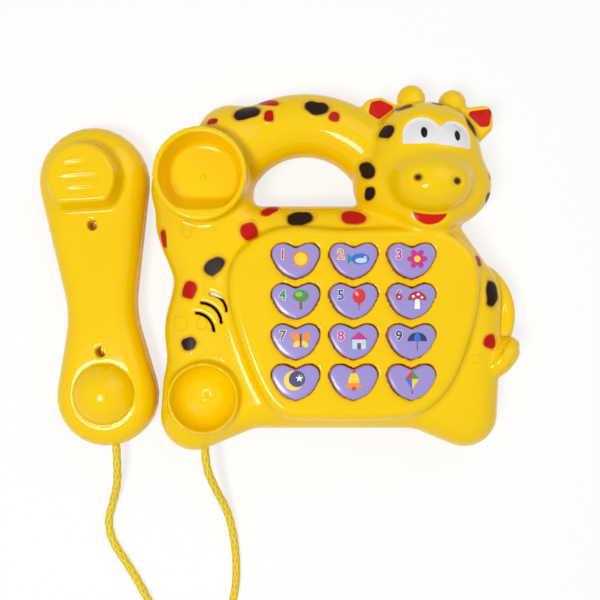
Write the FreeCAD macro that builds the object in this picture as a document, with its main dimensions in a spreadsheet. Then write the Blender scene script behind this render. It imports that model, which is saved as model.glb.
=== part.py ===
import FreeCAD, Part
import math
import os
from collections import namedtuple

import Sketcher

# A musical toy telephone in the shape of a giraffe, lying on its back with the handset beside it.
# X runs from the front foot to the hind foot, Y from the feet to the neck, Z out of the keypad.
# The origin lies on the flat back, behind the middle of the keypad. Lengths are in millimetres.

Vector = FreeCAD.Vector
Corner = namedtuple("Corner", "x y radius side")
CONVEX = 1
CONCAVE = -1
COLUMNS = 3
ROWS = 4
QUARTER_TURN = 90
EDGE_SLACK = 0.001

SIZES = {
    # shells of the base
    "wall": 2.2,
    "part_height": 20.0,
    "torso_height": 37.0,
    "front_round": 10.0,
    "back_round": 6.0,
    "cut_over": 2.0,
    "room_wide": 400.0,
    "room_high": 90.0,
    # rounded corners of the torso's outline
    "front_foot_x": -79.5,
    "front_foot_y": -48.6,
    "front_foot_radius": 17.5,
    "belly_front_x": -45.5,
    "belly_rear_x": 28.1,
    "belly_y": -54.8,
    "belly_radius": 18.0,
    "hind_foot_x": 57.5,
    "hind_foot_y": -47.1,
    "hind_foot_radius": 17.0,
    "rump_x": 53.9,
    "rump_y": 10.6,
    "rump_radius": 23.0,
    "withers_x": 38.4,
    "withers_y": 38.9,
    "withers_radius": 19.5,
    "notch_radius": 5.0,
    "notch_room": 2.6,
    "notch_drop": 3.6,
    "shoulder_x": -77.4,
    "shoulder_y": 67.2,
    "shoulder_radius": 24.5,
    "waist_x": -113.5,
    "waist_y": 18.3,
    "waist_radius": 21.5,
    # neck, which is the carrying handle
    "neck_x": -23.4,
    "neck_y": 54.4,
    "neck_ring": 45.8,
    "neck_thick": 16.0,
    "nape_x": -61.0,
    "nape_y": 92.0,
    "nape_radius": 18.5,
    # head
    "head_height": 28.0,
    "cheek_x": 35.8,
    "cheek_y": 68.4,
    "cheek_wide": 35.0,
    "cheek_long": 24.0,
    "cheek_deep": 25.0,
    "cheek_ease": 1.6,
    "skull_x": 36.8,
    "skull_y": 86.0,
    "skull_wide": 27.6,
    "skull_long": 24.0,
    "skull_deep": 23.0,
    "muzzle_x": 36.7,
    "muzzle_y": 65.8,
    "muzzle_wide": 20.5,
    "muzzle_long": 15.5,
    "muzzle_deep": 18.0,
    "muzzle_height": 42.5,
    "left_horn_x": 30.4,
    "right_horn_x": 51.3,
    "left_horn_y": 111.4,
    "right_horn_y": 109.0,
    "horn_height": 24.0,
    "horn_radius": 7.0,
    "ear_thick": 11.0,
    "ear_tip_radius": 3.6,
    "ear_root_radius": 4.0,
    "left_ear_tip_x": -26.4,
    "left_ear_tip_y": 23.3,
    "left_ear_upper_x": -15.6,
    "left_ear_upper_y": 19.6,
    "left_ear_lower_x": -22.6,
    "left_ear_lower_y": 11.0,
    "right_ear_tip_x": 30.8,
    "right_ear_tip_y": 19.2,
    "right_ear_lower_x": 25.0,
    "right_ear_lower_y": 5.6,
    "right_ear_upper_x": 18.0,
    "right_ear_upper_y": 17.6,
    # tail
    "tail_x": 53.9,
    "tail_y": 2.9,
    "tail_ring": 26.8,
    "tail_thick": 4.0,
    "tail_from": 315.0,
    "tail_sweep": 100.0,
    "tuft_x": 76.4,
    "tuft_y": -18.6,
    "tuft_long": 9.0,
    "tuft_wide": 5.6,
    "tuft_deep": 7.0,
    "tuft_turn": 40.0,
    # handset cups
    "upper_cup_x": -74.2,
    "upper_cup_y": 71.6,
    "upper_cup_height": 48.0,
    "upper_cup_radius": 22.7,
    "upper_cup_lip": 2.7,
    "upper_cup_floor_radius": 17.2,
    "upper_cup_floor": 32.0,
    "upper_cup_flat": 10.4,
    "upper_cup_flat_lean": 24.0,
    "lower_cup_x": -73.2,
    "lower_cup_y": -37.5,
    "lower_cup_height": 43.0,
    "lower_cup_lip": 1.3,
    "lower_cup_radius": 17.3,
    "lower_cup_depth": 14.0,
    "lower_cup_flare": 1.4,
    # keypad panel
    "panel_height": 43.0,
    "panel_round": 3.0,
    "panel_top_left_out": 13.6,
    "panel_top_left_radius": 19.2,
    "panel_top_y": 27.3,
    "panel_bottom_left_in": 3.1,
    "panel_bottom_left_radius": 17.2,
    "panel_bottom_right_in": 1.9,
    "panel_bottom_right_radius": 18.2,
    "panel_bottom_y": -31.2,
    "panel_right_out": 13.4,
    "panel_right_y": 12.6,
    "panel_right_radius": 21.2,
    "panel_top_right_out": 7.5,
    "panel_top_right_radius": 18.7,
    # heart keys
    "key_pitch_x": 28.05,
    "key_pitch_y": 19.6,
    "key_gap": 0.35,
    "key_play": 0.2,
    "key_rise": 3.2,
    "key_edge_round": 1.0,
    "key_lip": 0.9,
    "key_lip_thick": 1.2,
    "plunger_radius": 3.0,
    "plunger_length": 1.6,
    "lobe_x": 6.45,
    "lobe_y": 3.5,
    "lobe_radius": 5.1,
    "flank_x": 1.2,
    "flank_y": 3.9,
    "flank_radius": 12.1,
    "tip_y": -6.9,
    "tip_radius": 1.5,
    "cleft_y": 7.75,
    "cleft_radius": 1.4,
    # rubber mat and circuit board
    "dome_height": 3.0,
    "dome_base_radius": 4.6,
    "mat_thick": 1.0,
    "board_thick": 1.6,
    "board_edge": 6.6,
    "board_boss_radius": 2.4,
    "board_boss_lift": 1.9,
    "board_screw_radius": 1.0,
    "board_screw_head_radius": 1.9,
    "board_screw_head_thick": 1.3,
    "board_screw_length": 6.0,
    "chip_radius": 5.0,
    "chip_thick": 1.6,
    "chip_y": 12.0,
    # screws and bosses of the base
    "screw_radius": 1.4,
    "screw_head_radius": 2.6,
    "screw_head_thick": 1.8,
    "screw_seat": 10.0,
    "screw_length": 16.0,
    "screw_tip_room": 1.0,
    "screw_play": 0.25,
    "thread_play": 0.05,
    "head_play": 0.4,
    "boss_wall": 1.4,
    "slot_wide": 0.6,
    "slot_deep": 0.8,
    "slot_share": 1.3,
    # loudspeaker
    "speaker_x": -68.8,
    "speaker_y": 2.0,
    "speaker_radius": 13.5,
    "speaker_rim_thick": 1.0,
    "speaker_cup_radius": 11.0,
    "speaker_depth": 6.0,
    "speaker_steel": 0.8,
    "cone_edge_play": 0.2,
    "cone_thick": 0.5,
    "cone_throat_radius": 3.6,
    "magnet_radius": 8.0,
    "magnet_thick": 4.0,
    "clamp_thick": 1.4,
    "clamp_wide": 18.0,
    "clamp_boss_radius": 2.5,
    "clamp_boss_room": 0.5,
    "clamp_screw_length": 5.5,
    "sound_slot_wide": 1.3,
    "sound_slot_1_x": -2.1,
    "sound_slot_1_y": 2.7,
    "sound_slot_1_radius": 8.7,
    "sound_slot_2_x": -6.5,
    "sound_slot_2_y": -3.2,
    "sound_slot_2_radius": 10.4,
    "sound_slot_3_x": -9.2,
    "sound_slot_3_y": -7.2,
    "sound_slot_3_radius": 9.4,
    # battery compartment, for two penlight cells
    "battery_x": 0.0,
    "battery_y": -27.5,
    "cell_radius": 7.1,
    "cell_length": 49.2,
    "cell_nub_radius": 2.7,
    "cell_nub_length": 1.3,
    "cell_play": 0.3,
    "contact_thick": 0.5,
    "contact_wide": 10.0,
    "spring_length": 4.5,
    "spring_radius": 3.2,
    "spring_wire_radius": 0.35,
    "spring_turns": 3.0,
    "spring_steps": 8.0,
    "battery_wall": 1.6,
    "door_thick": 1.8,
    "door_sink": 0.3,
    "door_gap": 0.3,
    "door_ledge": 2.0,
    "door_lug": 8.0,
    "door_screw_length": 9.0,
    # slide switch in the back
    "switch_x": -30.0,
    "switch_y": 26.0,
    "switch_travel": 3.0,
    "switch_well_deep": 1.8,
    "switch_well_margin": 4.0,
    "knob_stem_long": 3.6,
    "knob_stem_wide": 3.0,
    "knob_plate_long": 11.0,
    "knob_plate_wide": 5.4,
    "knob_plate_thick": 1.0,
    "knob_sink": 0.5,
    "knob_play": 0.2,
    "switch_case_wall": 1.0,
    "switch_case_high": 4.0,
    # handset, in its own frame until it is placed
    "handset_x": -130.0,
    "handset_y": 16.4,
    "handset_turn": 3.6,
    "handset_part": 12.0,
    "handset_height": 24.0,
    "handset_front_round": 7.0,
    "handset_back_round": 9.0,
    "ear_end_out": 1.4,
    "ear_end_radius": 28.3,
    "mouth_end_out": 1.4,
    "mouth_end_radius": 26.2,
    "grip_half_wide": 18.0,
    "grip_y": -11.0,
    "grip_sweep": 55.0,
    "block_radius": 16.6,
    "block_flat": 12.0,
    "block_corner": 3.0,
    "block_corner_x": 10.8,
    "block_rise": 11.0,
    "block_taper": -9.0,
    "block_top_round": 1.5,
    "groove_pitch": 6.5,
    "groove_deep": 0.8,
    "groove_radius": 1.9,
    "groove_middle_half": 8.4,
    "groove_side_half": 5.6,
    "voice_dome_radius": 15.9,
    "voice_dome_rise": 10.0,
    "handset_screw_y": 32.5,
    "handset_screw_hole_radius": 2.6,
    "handset_screw_web": 2.0,
    "handset_screw_length": 9.0,
    # cord and its knots
    "cord_radius": 2.1,
    "cord_gap": 0.35,
    "knot_radius": 4.2,
    "knot_length": 6.5,
    "knot_round": 1.6,
    "base_cord_x": -75.0,
    "base_knot_up": 3.1,
    "base_cord_lead": 13.2,
    "handset_cord_x": 2.4,
    "handset_knot_up": 0.7,
    "handset_cord_lead": 12.0,
    "bend_share": 0.45,
    # wires inside the base
    "wire_radius": 0.6,
    "wire_gap": 0.2,
    "wire_spread": 2.4,
    "wire_inset": 4.0,
    "wire_sag": 3.0,
    "wire_out_share": 0.3,
    "wire_low_share": 0.6,
}

doc = FreeCAD.newDocument("toy_telephone")
sheet = doc.addObject("Spreadsheet::Sheet", "dims")
for row, (alias, number) in enumerate(SIZES.items(), start=1):
    sheet.set(f"A{row}", alias)
    sheet.set(f"B{row}", str(number))
    sheet.setAlias(f"B{row}", alias)
doc.recompute()


class Size:
    """A length of the sheet, or a sum of such lengths, with the expression that gives it."""

    def __init__(self, text, value):
        self.text = text
        self.value = value

    def __add__(self, other):
        other = as_size(other)
        return Size(f"({self.text} + {other.text})", self.value + other.value)

    def __sub__(self, other):
        other = as_size(other)
        return Size(f"({self.text} - {other.text})", self.value - other.value)

    def __mul__(self, other):
        other = as_size(other)
        return Size(f"({self.text} * {other.text})", self.value * other.value)

    def __truediv__(self, other):
        other = as_size(other)
        return Size(f"({self.text} / {other.text})", self.value / other.value)

    def __radd__(self, other):
        return as_size(other) + self

    def __rsub__(self, other):
        return as_size(other) - self

    def __rmul__(self, other):
        return as_size(other) * self

    def __neg__(self):
        return as_size(0) - self


def as_size(number):
    if isinstance(number, Size):
        return number
    return Size(f"({float(number)})", float(number))


class Sheet:
    """Gives each alias of the sheet as an attribute."""

    def __getattr__(self, alias):
        return Size(f"dims.{alias}", SIZES[alias])


d = Sheet()
pieces = []


def bind(item, **sizes):
    for name, length in sizes.items():
        item.setExpression(name, as_size(length).text)


def place(item, x=0, y=0, z=0, turn=None):
    for letter, length in zip("xyz", (x, y, z)):
        item.setExpression(f"Placement.Base.{letter}", as_size(length).text)
    if turn is not None:
        item.setExpression("Placement.Rotation.Angle", as_size(turn).text)
    return item


def keep(item, label):
    """Names an object as a finished piece of the telephone."""
    item.Label = label
    pieces.append(item)
    return item


def cylinder(name, radius, height, x=0, y=0, z=0):
    item = doc.addObject("Part::Cylinder", name)
    bind(item, Radius=radius, Height=height)
    return place(item, x, y, z)


def cone(name, low_radius, high_radius, height, x=0, y=0, z=0):
    item = doc.addObject("Part::Cone", name)
    bind(item, Radius1=low_radius, Radius2=high_radius, Height=height)
    return place(item, x, y, z)


def ball(name, radius, x=0, y=0, z=0):
    item = doc.addObject("Part::Sphere", name)
    bind(item, Radius=radius)
    return place(item, x, y, z)


def egg(name, wide, long, deep, x=0, y=0, z=0, turn=None):
    item = doc.addObject("Part::Ellipsoid", name)
    bind(item, Radius1=deep, Radius2=wide, Radius3=long)
    return place(item, x, y, z, turn)


def ring(name, ring_radius, thick, x=0, y=0, z=0):
    item = doc.addObject("Part::Torus", name)
    bind(item, Radius1=ring_radius, Radius2=thick)
    return place(item, x, y, z)


def box(name, long, wide, high, x=0, y=0, z=0):
    """A box centred on x and y that stands on z."""
    item = doc.addObject("Part::Box", name)
    bind(item, Length=long, Width=wide, Height=high)
    return place(item, x - as_size(long) / 2, y - as_size(wide) / 2, z)


def rod(name, radius, length, x, y, z):
    """A cylinder that runs from its place along +Y."""
    item = cylinder(name, radius, length)
    item.Placement.Rotation = FreeCAD.Rotation(Vector(1, 0, 0), -QUARTER_TURN)
    return place(item, x, y, z)


def bar(name, radius, length, x, y, z):
    """A cylinder that runs from its place along +X."""
    item = cylinder(name, radius, length)
    item.Placement.Rotation = FreeCAD.Rotation(Vector(0, 1, 0), QUARTER_TURN)
    return place(item, x, y, z)


def fuse(name, *shapes):
    item = doc.addObject("Part::MultiFuse", name)
    item.Shapes = list(shapes)
    return item


def common(name, first, second):
    item = doc.addObject("Part::Common", name)
    item.Base = first
    item.Tool = second
    return item


def cut(name, base, *tools):
    item = doc.addObject("Part::Cut", name)
    item.Base = base
    item.Tool = tools[0] if len(tools) == 1 else fuse(name + "_tools", *tools)
    return item


def group(name, *shapes):
    item = doc.addObject("Part::Compound", name)
    item.Links = list(shapes)
    return item


def convex(x, y, radius):
    return Corner(as_size(x), as_size(y), as_size(radius), CONVEX)


def concave(x, y, radius):
    return Corner(as_size(x), as_size(y), as_size(radius), CONCAVE)


def tangent_points(circles):
    """Where the straight runs leave each circle and meet the next one, on the way round."""
    leave, meet = [], []
    for (x0, y0, r0), (x1, y1, r1) in zip(circles, circles[1:] + circles[:1]):
        heading = math.atan2(y1 - y0, x1 - x0) + math.asin((r0 - r1) / math.hypot(x1 - x0, y1 - y0))
        normal = Vector(-math.sin(heading), math.cos(heading), 0)
        leave.append(Vector(x0, y0, 0) - normal * r0)
        meet.append(Vector(x1, y1, 0) - normal * r1)
    return leave, meet[-1:] + meet[:-1]


def outline(body, name, corners, grow=0):
    """A closed line of tangent runs around round corners, grown outwards by a length."""
    sketch = body.newObject("Sketcher::SketchObject", name)
    plane = next(item for item in body.Origin.OriginFeatures if item.Role == "XY_Plane")
    sketch.AttachmentSupport = [(plane, "")]
    sketch.MapMode = "FlatFace"
    radii = [corner.radius + corner.side * as_size(grow) for corner in corners]
    circles = [(c.x.value, c.y.value, c.side * r.value) for c, r in zip(corners, radii)]
    leave, meet = tangent_points(circles)
    count = len(corners)
    for start, end in zip(leave, meet[1:] + meet[:1]):
        sketch.addGeometry(Part.LineSegment(start, end), False)
    for (x, y, radius), first, last in zip(circles, meet, leave):
        if radius < 0:
            first, last = last, first
        start = math.atan2(first.y - y, first.x - x)
        sweep = (math.atan2(last.y - y, last.x - x) - start) % (2 * math.pi)
        circle = Part.Circle(Vector(x, y, 0), Vector(0, 0, 1), abs(radius))
        sketch.addGeometry(Part.ArcOfCircle(circle, start, start + sweep), False)
    for index, (corner, radius) in enumerate(zip(corners, radii)):
        arc = count + index
        first, last = (1, 2) if corner.side == CONVEX else (2, 1)
        sketch.addConstraint(Sketcher.Constraint("Tangent", (index - 1) % count, 2, arc, first))
        sketch.addConstraint(Sketcher.Constraint("Tangent", arc, last, index, 1))
        across = sketch.addConstraint(Sketcher.Constraint("DistanceX", -1, 1, arc, 3, corner.x.value))
        up = sketch.addConstraint(Sketcher.Constraint("DistanceY", -1, 1, arc, 3, corner.y.value))
        bend = sketch.addConstraint(Sketcher.Constraint("Radius", arc, radius.value))
        for constraint, length in ((across, corner.x), (up, corner.y), (bend, radius)):
            sketch.setExpression(f"Constraints[{constraint}]", length.text)
    return sketch


def pad(body, sketch, length, down=False, taper=None):
    feature = body.newObject("PartDesign::Pad", sketch.Name + "_pad")
    feature.Profile = sketch
    feature.Reversed = down
    bind(feature, Length=length)
    if taper is not None:
        bind(feature, TaperAngle=taper)
    doc.recompute()
    return feature


def lies_at(edge, level):
    return edge.BoundBox.ZMin > level - EDGE_SLACK and edge.BoundBox.ZMax < level + EDGE_SLACK


def round_edges(body, level, radius):
    """Rounds every edge of the body that lies at one level of its own frame."""
    base = body.Tip
    flat = [index for index, edge in enumerate(base.Shape.Edges, start=1) if lies_at(edge, level)]
    feature = body.newObject("PartDesign::Fillet", body.Name + "_round")
    feature.Base = (base, [f"Edge{index}" for index in flat])
    bind(feature, Radius=radius)
    doc.recompute()


def slab(name, corners, grow, bottom, height, top_round=None, bottom_round=None, taper=None):
    body = doc.addObject("PartDesign::Body", name)
    pad(body, outline(body, name + "_outline", corners, grow), height, taper=taper)
    if top_round is not None:
        round_edges(body, as_size(height).value, top_round)
    if bottom_round is not None:
        round_edges(body, 0, bottom_round)
    return place(body, 0, 0, bottom)


def screw(name, radius, length, head_radius, head_thick, x, y, seat, down=False):
    """A cross-slotted screw whose head bears on the seat, with its shank above it or below it."""
    shank_base = seat - length if down else seat
    head_base = seat if down else seat - head_thick
    slot_base = seat + head_thick - d.slot_deep if down else seat - head_thick
    slot_long = head_radius * d.slot_share
    shank = cylinder(name + "_shank", radius, length, x, y, shank_base)
    head = cylinder(name + "_head", head_radius, head_thick, x, y, head_base)
    slots = [
        box(name + "_slot_x", slot_long, d.slot_wide, d.slot_deep, x, y, slot_base),
        box(name + "_slot_y", d.slot_wide, slot_long, d.slot_deep, x, y, slot_base),
    ]
    return cut(name, fuse(name + "_blank", shank, head), *slots)


# Outline of the torso, from the front foot round by the belly, the rump and the neck
torso_corners = [
    convex(d.front_foot_x, d.front_foot_y, d.front_foot_radius),
    concave(d.belly_front_x, d.belly_y - d.belly_radius, d.belly_radius),
    concave(d.belly_rear_x, d.belly_y - d.belly_radius, d.belly_radius),
    convex(d.hind_foot_x, d.hind_foot_y, d.hind_foot_radius),
    convex(d.rump_x, d.rump_y, d.rump_radius),
    convex(d.withers_x, d.withers_y, d.withers_radius),
    concave(
        d.shoulder_x + d.shoulder_radius + d.notch_radius + d.notch_room,
        d.shoulder_y - d.notch_drop,
        d.notch_radius,
    ),
    convex(d.shoulder_x, d.shoulder_y, d.shoulder_radius),
    concave(d.waist_x, d.waist_y, d.waist_radius),
]

# Outline of the raised panel, wide enough for the keys
panel_corners = [
    convex(d.panel_bottom_left_in - d.key_pitch_x, d.panel_bottom_y, d.panel_bottom_left_radius),
    convex(d.key_pitch_x - d.panel_bottom_right_in, d.panel_bottom_y, d.panel_bottom_right_radius),
    convex(d.key_pitch_x + d.panel_right_out, d.panel_right_y, d.panel_right_radius),
    convex(d.key_pitch_x + d.panel_top_right_out, d.panel_top_y, d.panel_top_right_radius),
    convex(-d.key_pitch_x - d.panel_top_left_out, d.panel_top_y, d.panel_top_left_radius),
]

# Outline of one heart key about its own middle
heart_corners = [
    convex(0, d.tip_y, d.tip_radius),
    convex(-d.flank_x, d.flank_y, d.flank_radius),
    convex(d.lobe_x, d.lobe_y, d.lobe_radius),
    concave(0, d.cleft_y, d.cleft_radius),
    convex(-d.lobe_x, d.lobe_y, d.lobe_radius),
    convex(d.flank_x, d.flank_y, d.flank_radius),
]

# Levels through the front: panel, key lip, plunger, rubber dome and board
torso_under = d.torso_height - d.wall
panel_under = d.panel_height - d.wall
lip_under = panel_under - d.key_play - d.key_lip_thick
dome_top = lip_under - d.plunger_length
board_top = dome_top - d.dome_height - d.mat_thick
board_under = board_top - d.board_thick
board_long = 2 * (d.key_pitch_x + d.dome_base_radius + d.board_edge - d.board_boss_radius)
board_wide = 3 * d.key_pitch_y + 2 * d.board_edge
key_places = [
    ((column - 1) * d.key_pitch_x, (1.5 - row) * d.key_pitch_y)
    for row in range(ROWS)
    for column in range(COLUMNS)
]
board_screw_places = [
    (side * d.key_pitch_x / 2, level * d.key_pitch_y + d.board_boss_lift)
    for side in (-1, 1)
    for level in (-1, 1)
]

# Levels of the battery compartment, from the door inwards
door_top = d.door_sink + d.door_thick
cell_axis = door_top + d.cell_play + d.cell_radius
battery_roof = door_top + 2 * d.cell_radius + 2 * d.cell_play
battery_long = d.cell_length + d.cell_nub_length + d.spring_length + 2 * d.contact_thick
battery_wide = 4 * d.cell_radius + 3 * d.cell_play
door_long = battery_long + 2 * d.door_ledge + 2 * d.door_lug
door_wide = battery_wide + 2 * d.door_ledge
door_screw_reach = battery_long / 2 + d.battery_wall + d.screw_head_radius + d.boss_wall

# Shared radii of screw holes
pilot_radius = d.screw_radius + d.thread_play
pass_radius = d.screw_radius + d.screw_play
sink_radius = d.screw_head_radius + d.head_play
boss_radius = sink_radius + d.boss_wall
board_pilot_radius = d.board_screw_radius + d.thread_play
shell_screw_places = [
    (d.front_foot_x, d.front_foot_y),
    (d.hind_foot_x, d.hind_foot_y),
    (d.rump_x, d.rump_y),
    (d.neck_x, d.neck_y + d.neck_ring),
    (d.skull_x, d.skull_y),
    (d.shoulder_x, d.shoulder_y),
]
clamp_reach = d.speaker_radius + d.clamp_boss_room + d.clamp_boss_radius
clamp_screw_places = [(d.speaker_x, d.speaker_y + side * clamp_reach) for side in (-1, 1)]
speaker_base = torso_under - d.speaker_depth
upper_cup_deep = d.upper_cup_height - d.upper_cup_floor
bowl_rim = d.lower_cup_radius - d.lower_cup_lip
bowl_radius = (bowl_rim * bowl_rim + d.lower_cup_depth * d.lower_cup_depth) / (2 * d.lower_cup_depth)
bowl_centre = d.lower_cup_height - d.lower_cup_depth + bowl_radius
cord_hole_radius = d.cord_radius + d.cord_gap
base_knot_y = d.front_foot_y - d.front_foot_radius + d.wall + d.base_knot_up


def ear(name, *order):
    """A rounded triangle whose two roots lie in the side of the head."""
    corners = []
    for end in order:
        x = d.skull_x + getattr(d, f"{name}_{end}_x")
        y = d.skull_y + getattr(d, f"{name}_{end}_y")
        corners.append(convex(x, y, d.ear_tip_radius if end == "tip" else d.ear_root_radius))
    return slab(name, corners, 0, d.part_height - d.ear_thick / 2, d.ear_thick)


def tail_ring():
    item = ring("tail_ring_form", d.tail_ring, d.tail_thick, d.tail_x, d.tail_y, d.part_height)
    bind(item, Angle3=d.tail_sweep)
    return place(item, d.tail_x, d.tail_y, d.part_height, d.tail_from)


def base_form():
    """The closed outer form of the giraffe."""
    return fuse(
        "base_form",
        slab("torso", torso_corners, 0, 0, d.torso_height, d.front_round, d.back_round),
        slab("panel", panel_corners, 0, d.part_height, d.panel_height - d.part_height, d.panel_round),
        ring("neck", d.neck_ring, d.neck_thick, d.neck_x, d.neck_y, d.part_height),
        ball("nape", d.nape_radius, d.nape_x, d.nape_y, d.part_height),
        egg("cheeks", d.cheek_wide, d.cheek_long, d.cheek_deep, d.cheek_x, d.cheek_y, d.head_height),
        egg("skull", d.skull_wide, d.skull_long, d.skull_deep, d.skull_x, d.skull_y, d.head_height),
        egg("muzzle", d.muzzle_wide, d.muzzle_long, d.muzzle_deep, d.muzzle_x, d.muzzle_y, d.muzzle_height),
        ball("left_horn", d.horn_radius, d.left_horn_x, d.left_horn_y, d.horn_height),
        ball("right_horn", d.horn_radius, d.right_horn_x, d.right_horn_y, d.horn_height),
        ear("left_ear", "tip", "lower", "upper"),
        ear("right_ear", "tip", "upper", "lower"),
        tail_ring(),
        egg(
            "tail_tuft",
            d.tuft_long,
            d.tuft_wide,
            d.tuft_deep,
            d.tuft_x,
            d.tuft_y,
            d.part_height,
            d.tuft_turn,
        ),
        cylinder(
            "upper_cup_form",
            d.upper_cup_radius,
            d.upper_cup_height - d.part_height,
            d.upper_cup_x,
            d.upper_cup_y,
            d.part_height,
        ),
        cone(
            "lower_cup_form",
            d.lower_cup_radius + d.lower_cup_flare,
            d.lower_cup_radius,
            d.lower_cup_height - torso_under,
            d.lower_cup_x,
            d.lower_cup_y,
            torso_under,
        ),
    )


def base_hollow():
    """The space inside the giraffe, one wall smaller than the form."""
    return fuse(
        "base_hollow",
        slab(
            "torso_hollow",
            torso_corners,
            -d.wall,
            d.wall,
            d.torso_height - 2 * d.wall,
            d.front_round - d.wall,
            d.back_round - d.wall,
        ),
        slab("panel_hollow", panel_corners, -d.wall, d.part_height, panel_under - d.part_height),
        ring("neck_hollow", d.neck_ring, d.neck_thick - d.wall, d.neck_x, d.neck_y, d.part_height),
        ball("nape_hollow", d.nape_radius - d.wall, d.nape_x, d.nape_y, d.part_height),
        ball("skull_hollow", d.skull_deep - d.wall, d.skull_x, d.skull_y, d.head_height),
        *[
            ball(
                f"cheek_hollow_{side}",
                d.cheek_long - d.wall - d.cheek_ease,
                d.cheek_x + side * (d.cheek_wide - d.cheek_long - d.cheek_ease),
                d.cheek_y,
                d.head_height,
            )
            for side in (-1, 1)
        ],
    )


def front_side():
    """The space in front of the parting plane, with room around the base."""
    return box("front_side", d.room_wide, d.room_wide, d.room_high, 0, 0, d.part_height)


def back_side():
    return box("back_side", d.room_wide, d.room_wide, d.part_height, 0, 0, 0)


def upper_cup_recess():
    """A tapered round well with one flat leaning side, which takes the earpiece block."""
    rim = d.upper_cup_radius - d.upper_cup_lip
    slope = (rim - d.upper_cup_floor_radius) / upper_cup_deep
    well = cone(
        "upper_cup_well",
        d.upper_cup_floor_radius,
        rim + slope * d.cut_over,
        upper_cup_deep + d.cut_over,
        d.upper_cup_x,
        d.upper_cup_y,
        d.upper_cup_floor,
    )
    flat = doc.addObject("Part::Box", "upper_cup_flat_side")
    bind(flat, Length=4 * d.upper_cup_radius, Width=2 * d.upper_cup_radius, Height=3 * upper_cup_deep)
    flat.Placement.Rotation = FreeCAD.Rotation(Vector(1, 0, 0), SIZES["upper_cup_flat_lean"])
    lean = math.radians(SIZES["upper_cup_flat_lean"])
    place(
        flat,
        d.upper_cup_x - 2 * d.upper_cup_radius,
        d.upper_cup_y - d.upper_cup_flat - 2 * d.upper_cup_radius * math.cos(lean),
        d.upper_cup_floor - 2 * d.upper_cup_radius * math.sin(lean),
    )
    return cut("upper_cup_recess", well, flat)


def sound_slot(number):
    """A quarter ring cut through the chest over the loudspeaker."""
    x = d.speaker_x + getattr(d, f"sound_slot_{number}_x")
    y = d.speaker_y + getattr(d, f"sound_slot_{number}_y")
    radius = getattr(d, f"sound_slot_{number}_radius")
    low = torso_under - d.cut_over
    high = d.wall + 2 * d.cut_over
    outer = cylinder(f"sound_slot_{number}_outer", radius + d.sound_slot_wide / 2, high, x, y, low)
    inner = cylinder(f"sound_slot_{number}_inner", radius - d.sound_slot_wide / 2, high, x, y, low)
    outer.Angle = QUARTER_TURN
    inner.Angle = QUARTER_TURN
    return cut(f"sound_slot_{number}", outer, inner)


def key_hole(index, x, y):
    hole = slab(
        f"key_hole_{index}",
        heart_corners,
        d.key_gap,
        0,
        d.wall + 2 * d.cut_over,
    )
    return place(hole, x, y, panel_under - d.cut_over)


def cord_hole():
    return rod(
        "base_cord_hole",
        cord_hole_radius,
        d.front_foot_radius,
        d.base_cord_x,
        d.front_foot_y - d.front_foot_radius - d.cut_over,
        d.part_height,
    )


form = base_form()
hollow = base_hollow()
skin = cut("base_skin", form, hollow)
base_exit = cord_hole()


def front_shell():
    inner_forms = [
        cone(
            "upper_cup_wall",
            d.upper_cup_floor_radius + d.wall,
            d.upper_cup_radius,
            upper_cup_deep + d.wall,
            d.upper_cup_x,
            d.upper_cup_y,
            d.upper_cup_floor - d.wall,
        ),
        ball("lower_cup_wall", bowl_radius + d.wall, d.lower_cup_x, d.lower_cup_y, bowl_centre),
    ]
    cuts = [
        upper_cup_recess(),
        ball("lower_cup_bowl", bowl_radius, d.lower_cup_x, d.lower_cup_y, bowl_centre),
        base_exit,
    ]
    pilot_deep = d.screw_seat + d.screw_length + d.screw_tip_room - d.part_height
    for index, (x, y) in enumerate(shell_screw_places):
        inner_forms.append(cylinder(f"front_boss_{index}", boss_radius, d.room_high, x, y, d.part_height))
        cuts.append(cylinder(f"front_pilot_{index}", pilot_radius, pilot_deep, x, y, d.part_height))
    board_pilot = d.board_screw_length + d.screw_tip_room - d.board_thick
    for index, (x, y) in enumerate(board_screw_places):
        inner_forms.append(
            cylinder(f"board_boss_{index}", d.board_boss_radius, panel_under - board_top, x, y, board_top)
        )
        cuts.append(cylinder(f"board_pilot_{index}", board_pilot_radius, board_pilot, x, y, board_top))
    clamp_pilot = d.clamp_screw_length + d.screw_tip_room - d.clamp_thick
    clamp_boss_high = d.speaker_depth + d.wall / 2
    for index, (x, y) in enumerate(clamp_screw_places):
        inner_forms.append(
            cylinder(f"clamp_boss_{index}", d.clamp_boss_radius, clamp_boss_high, x, y, speaker_base)
        )
        cuts.append(cylinder(f"clamp_pilot_{index}", board_pilot_radius, clamp_pilot, x, y, speaker_base))
    cuts += [sound_slot(number) for number in (1, 2, 3)]
    cuts += [key_hole(index, x, y) for index, (x, y) in enumerate(key_places)]
    half = common("front_half", skin, front_side())
    inner = common("front_inner", fuse("front_inner_forms", *inner_forms), form)
    return cut("front_shell", fuse("front_blank", half, inner), *cuts)


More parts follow.
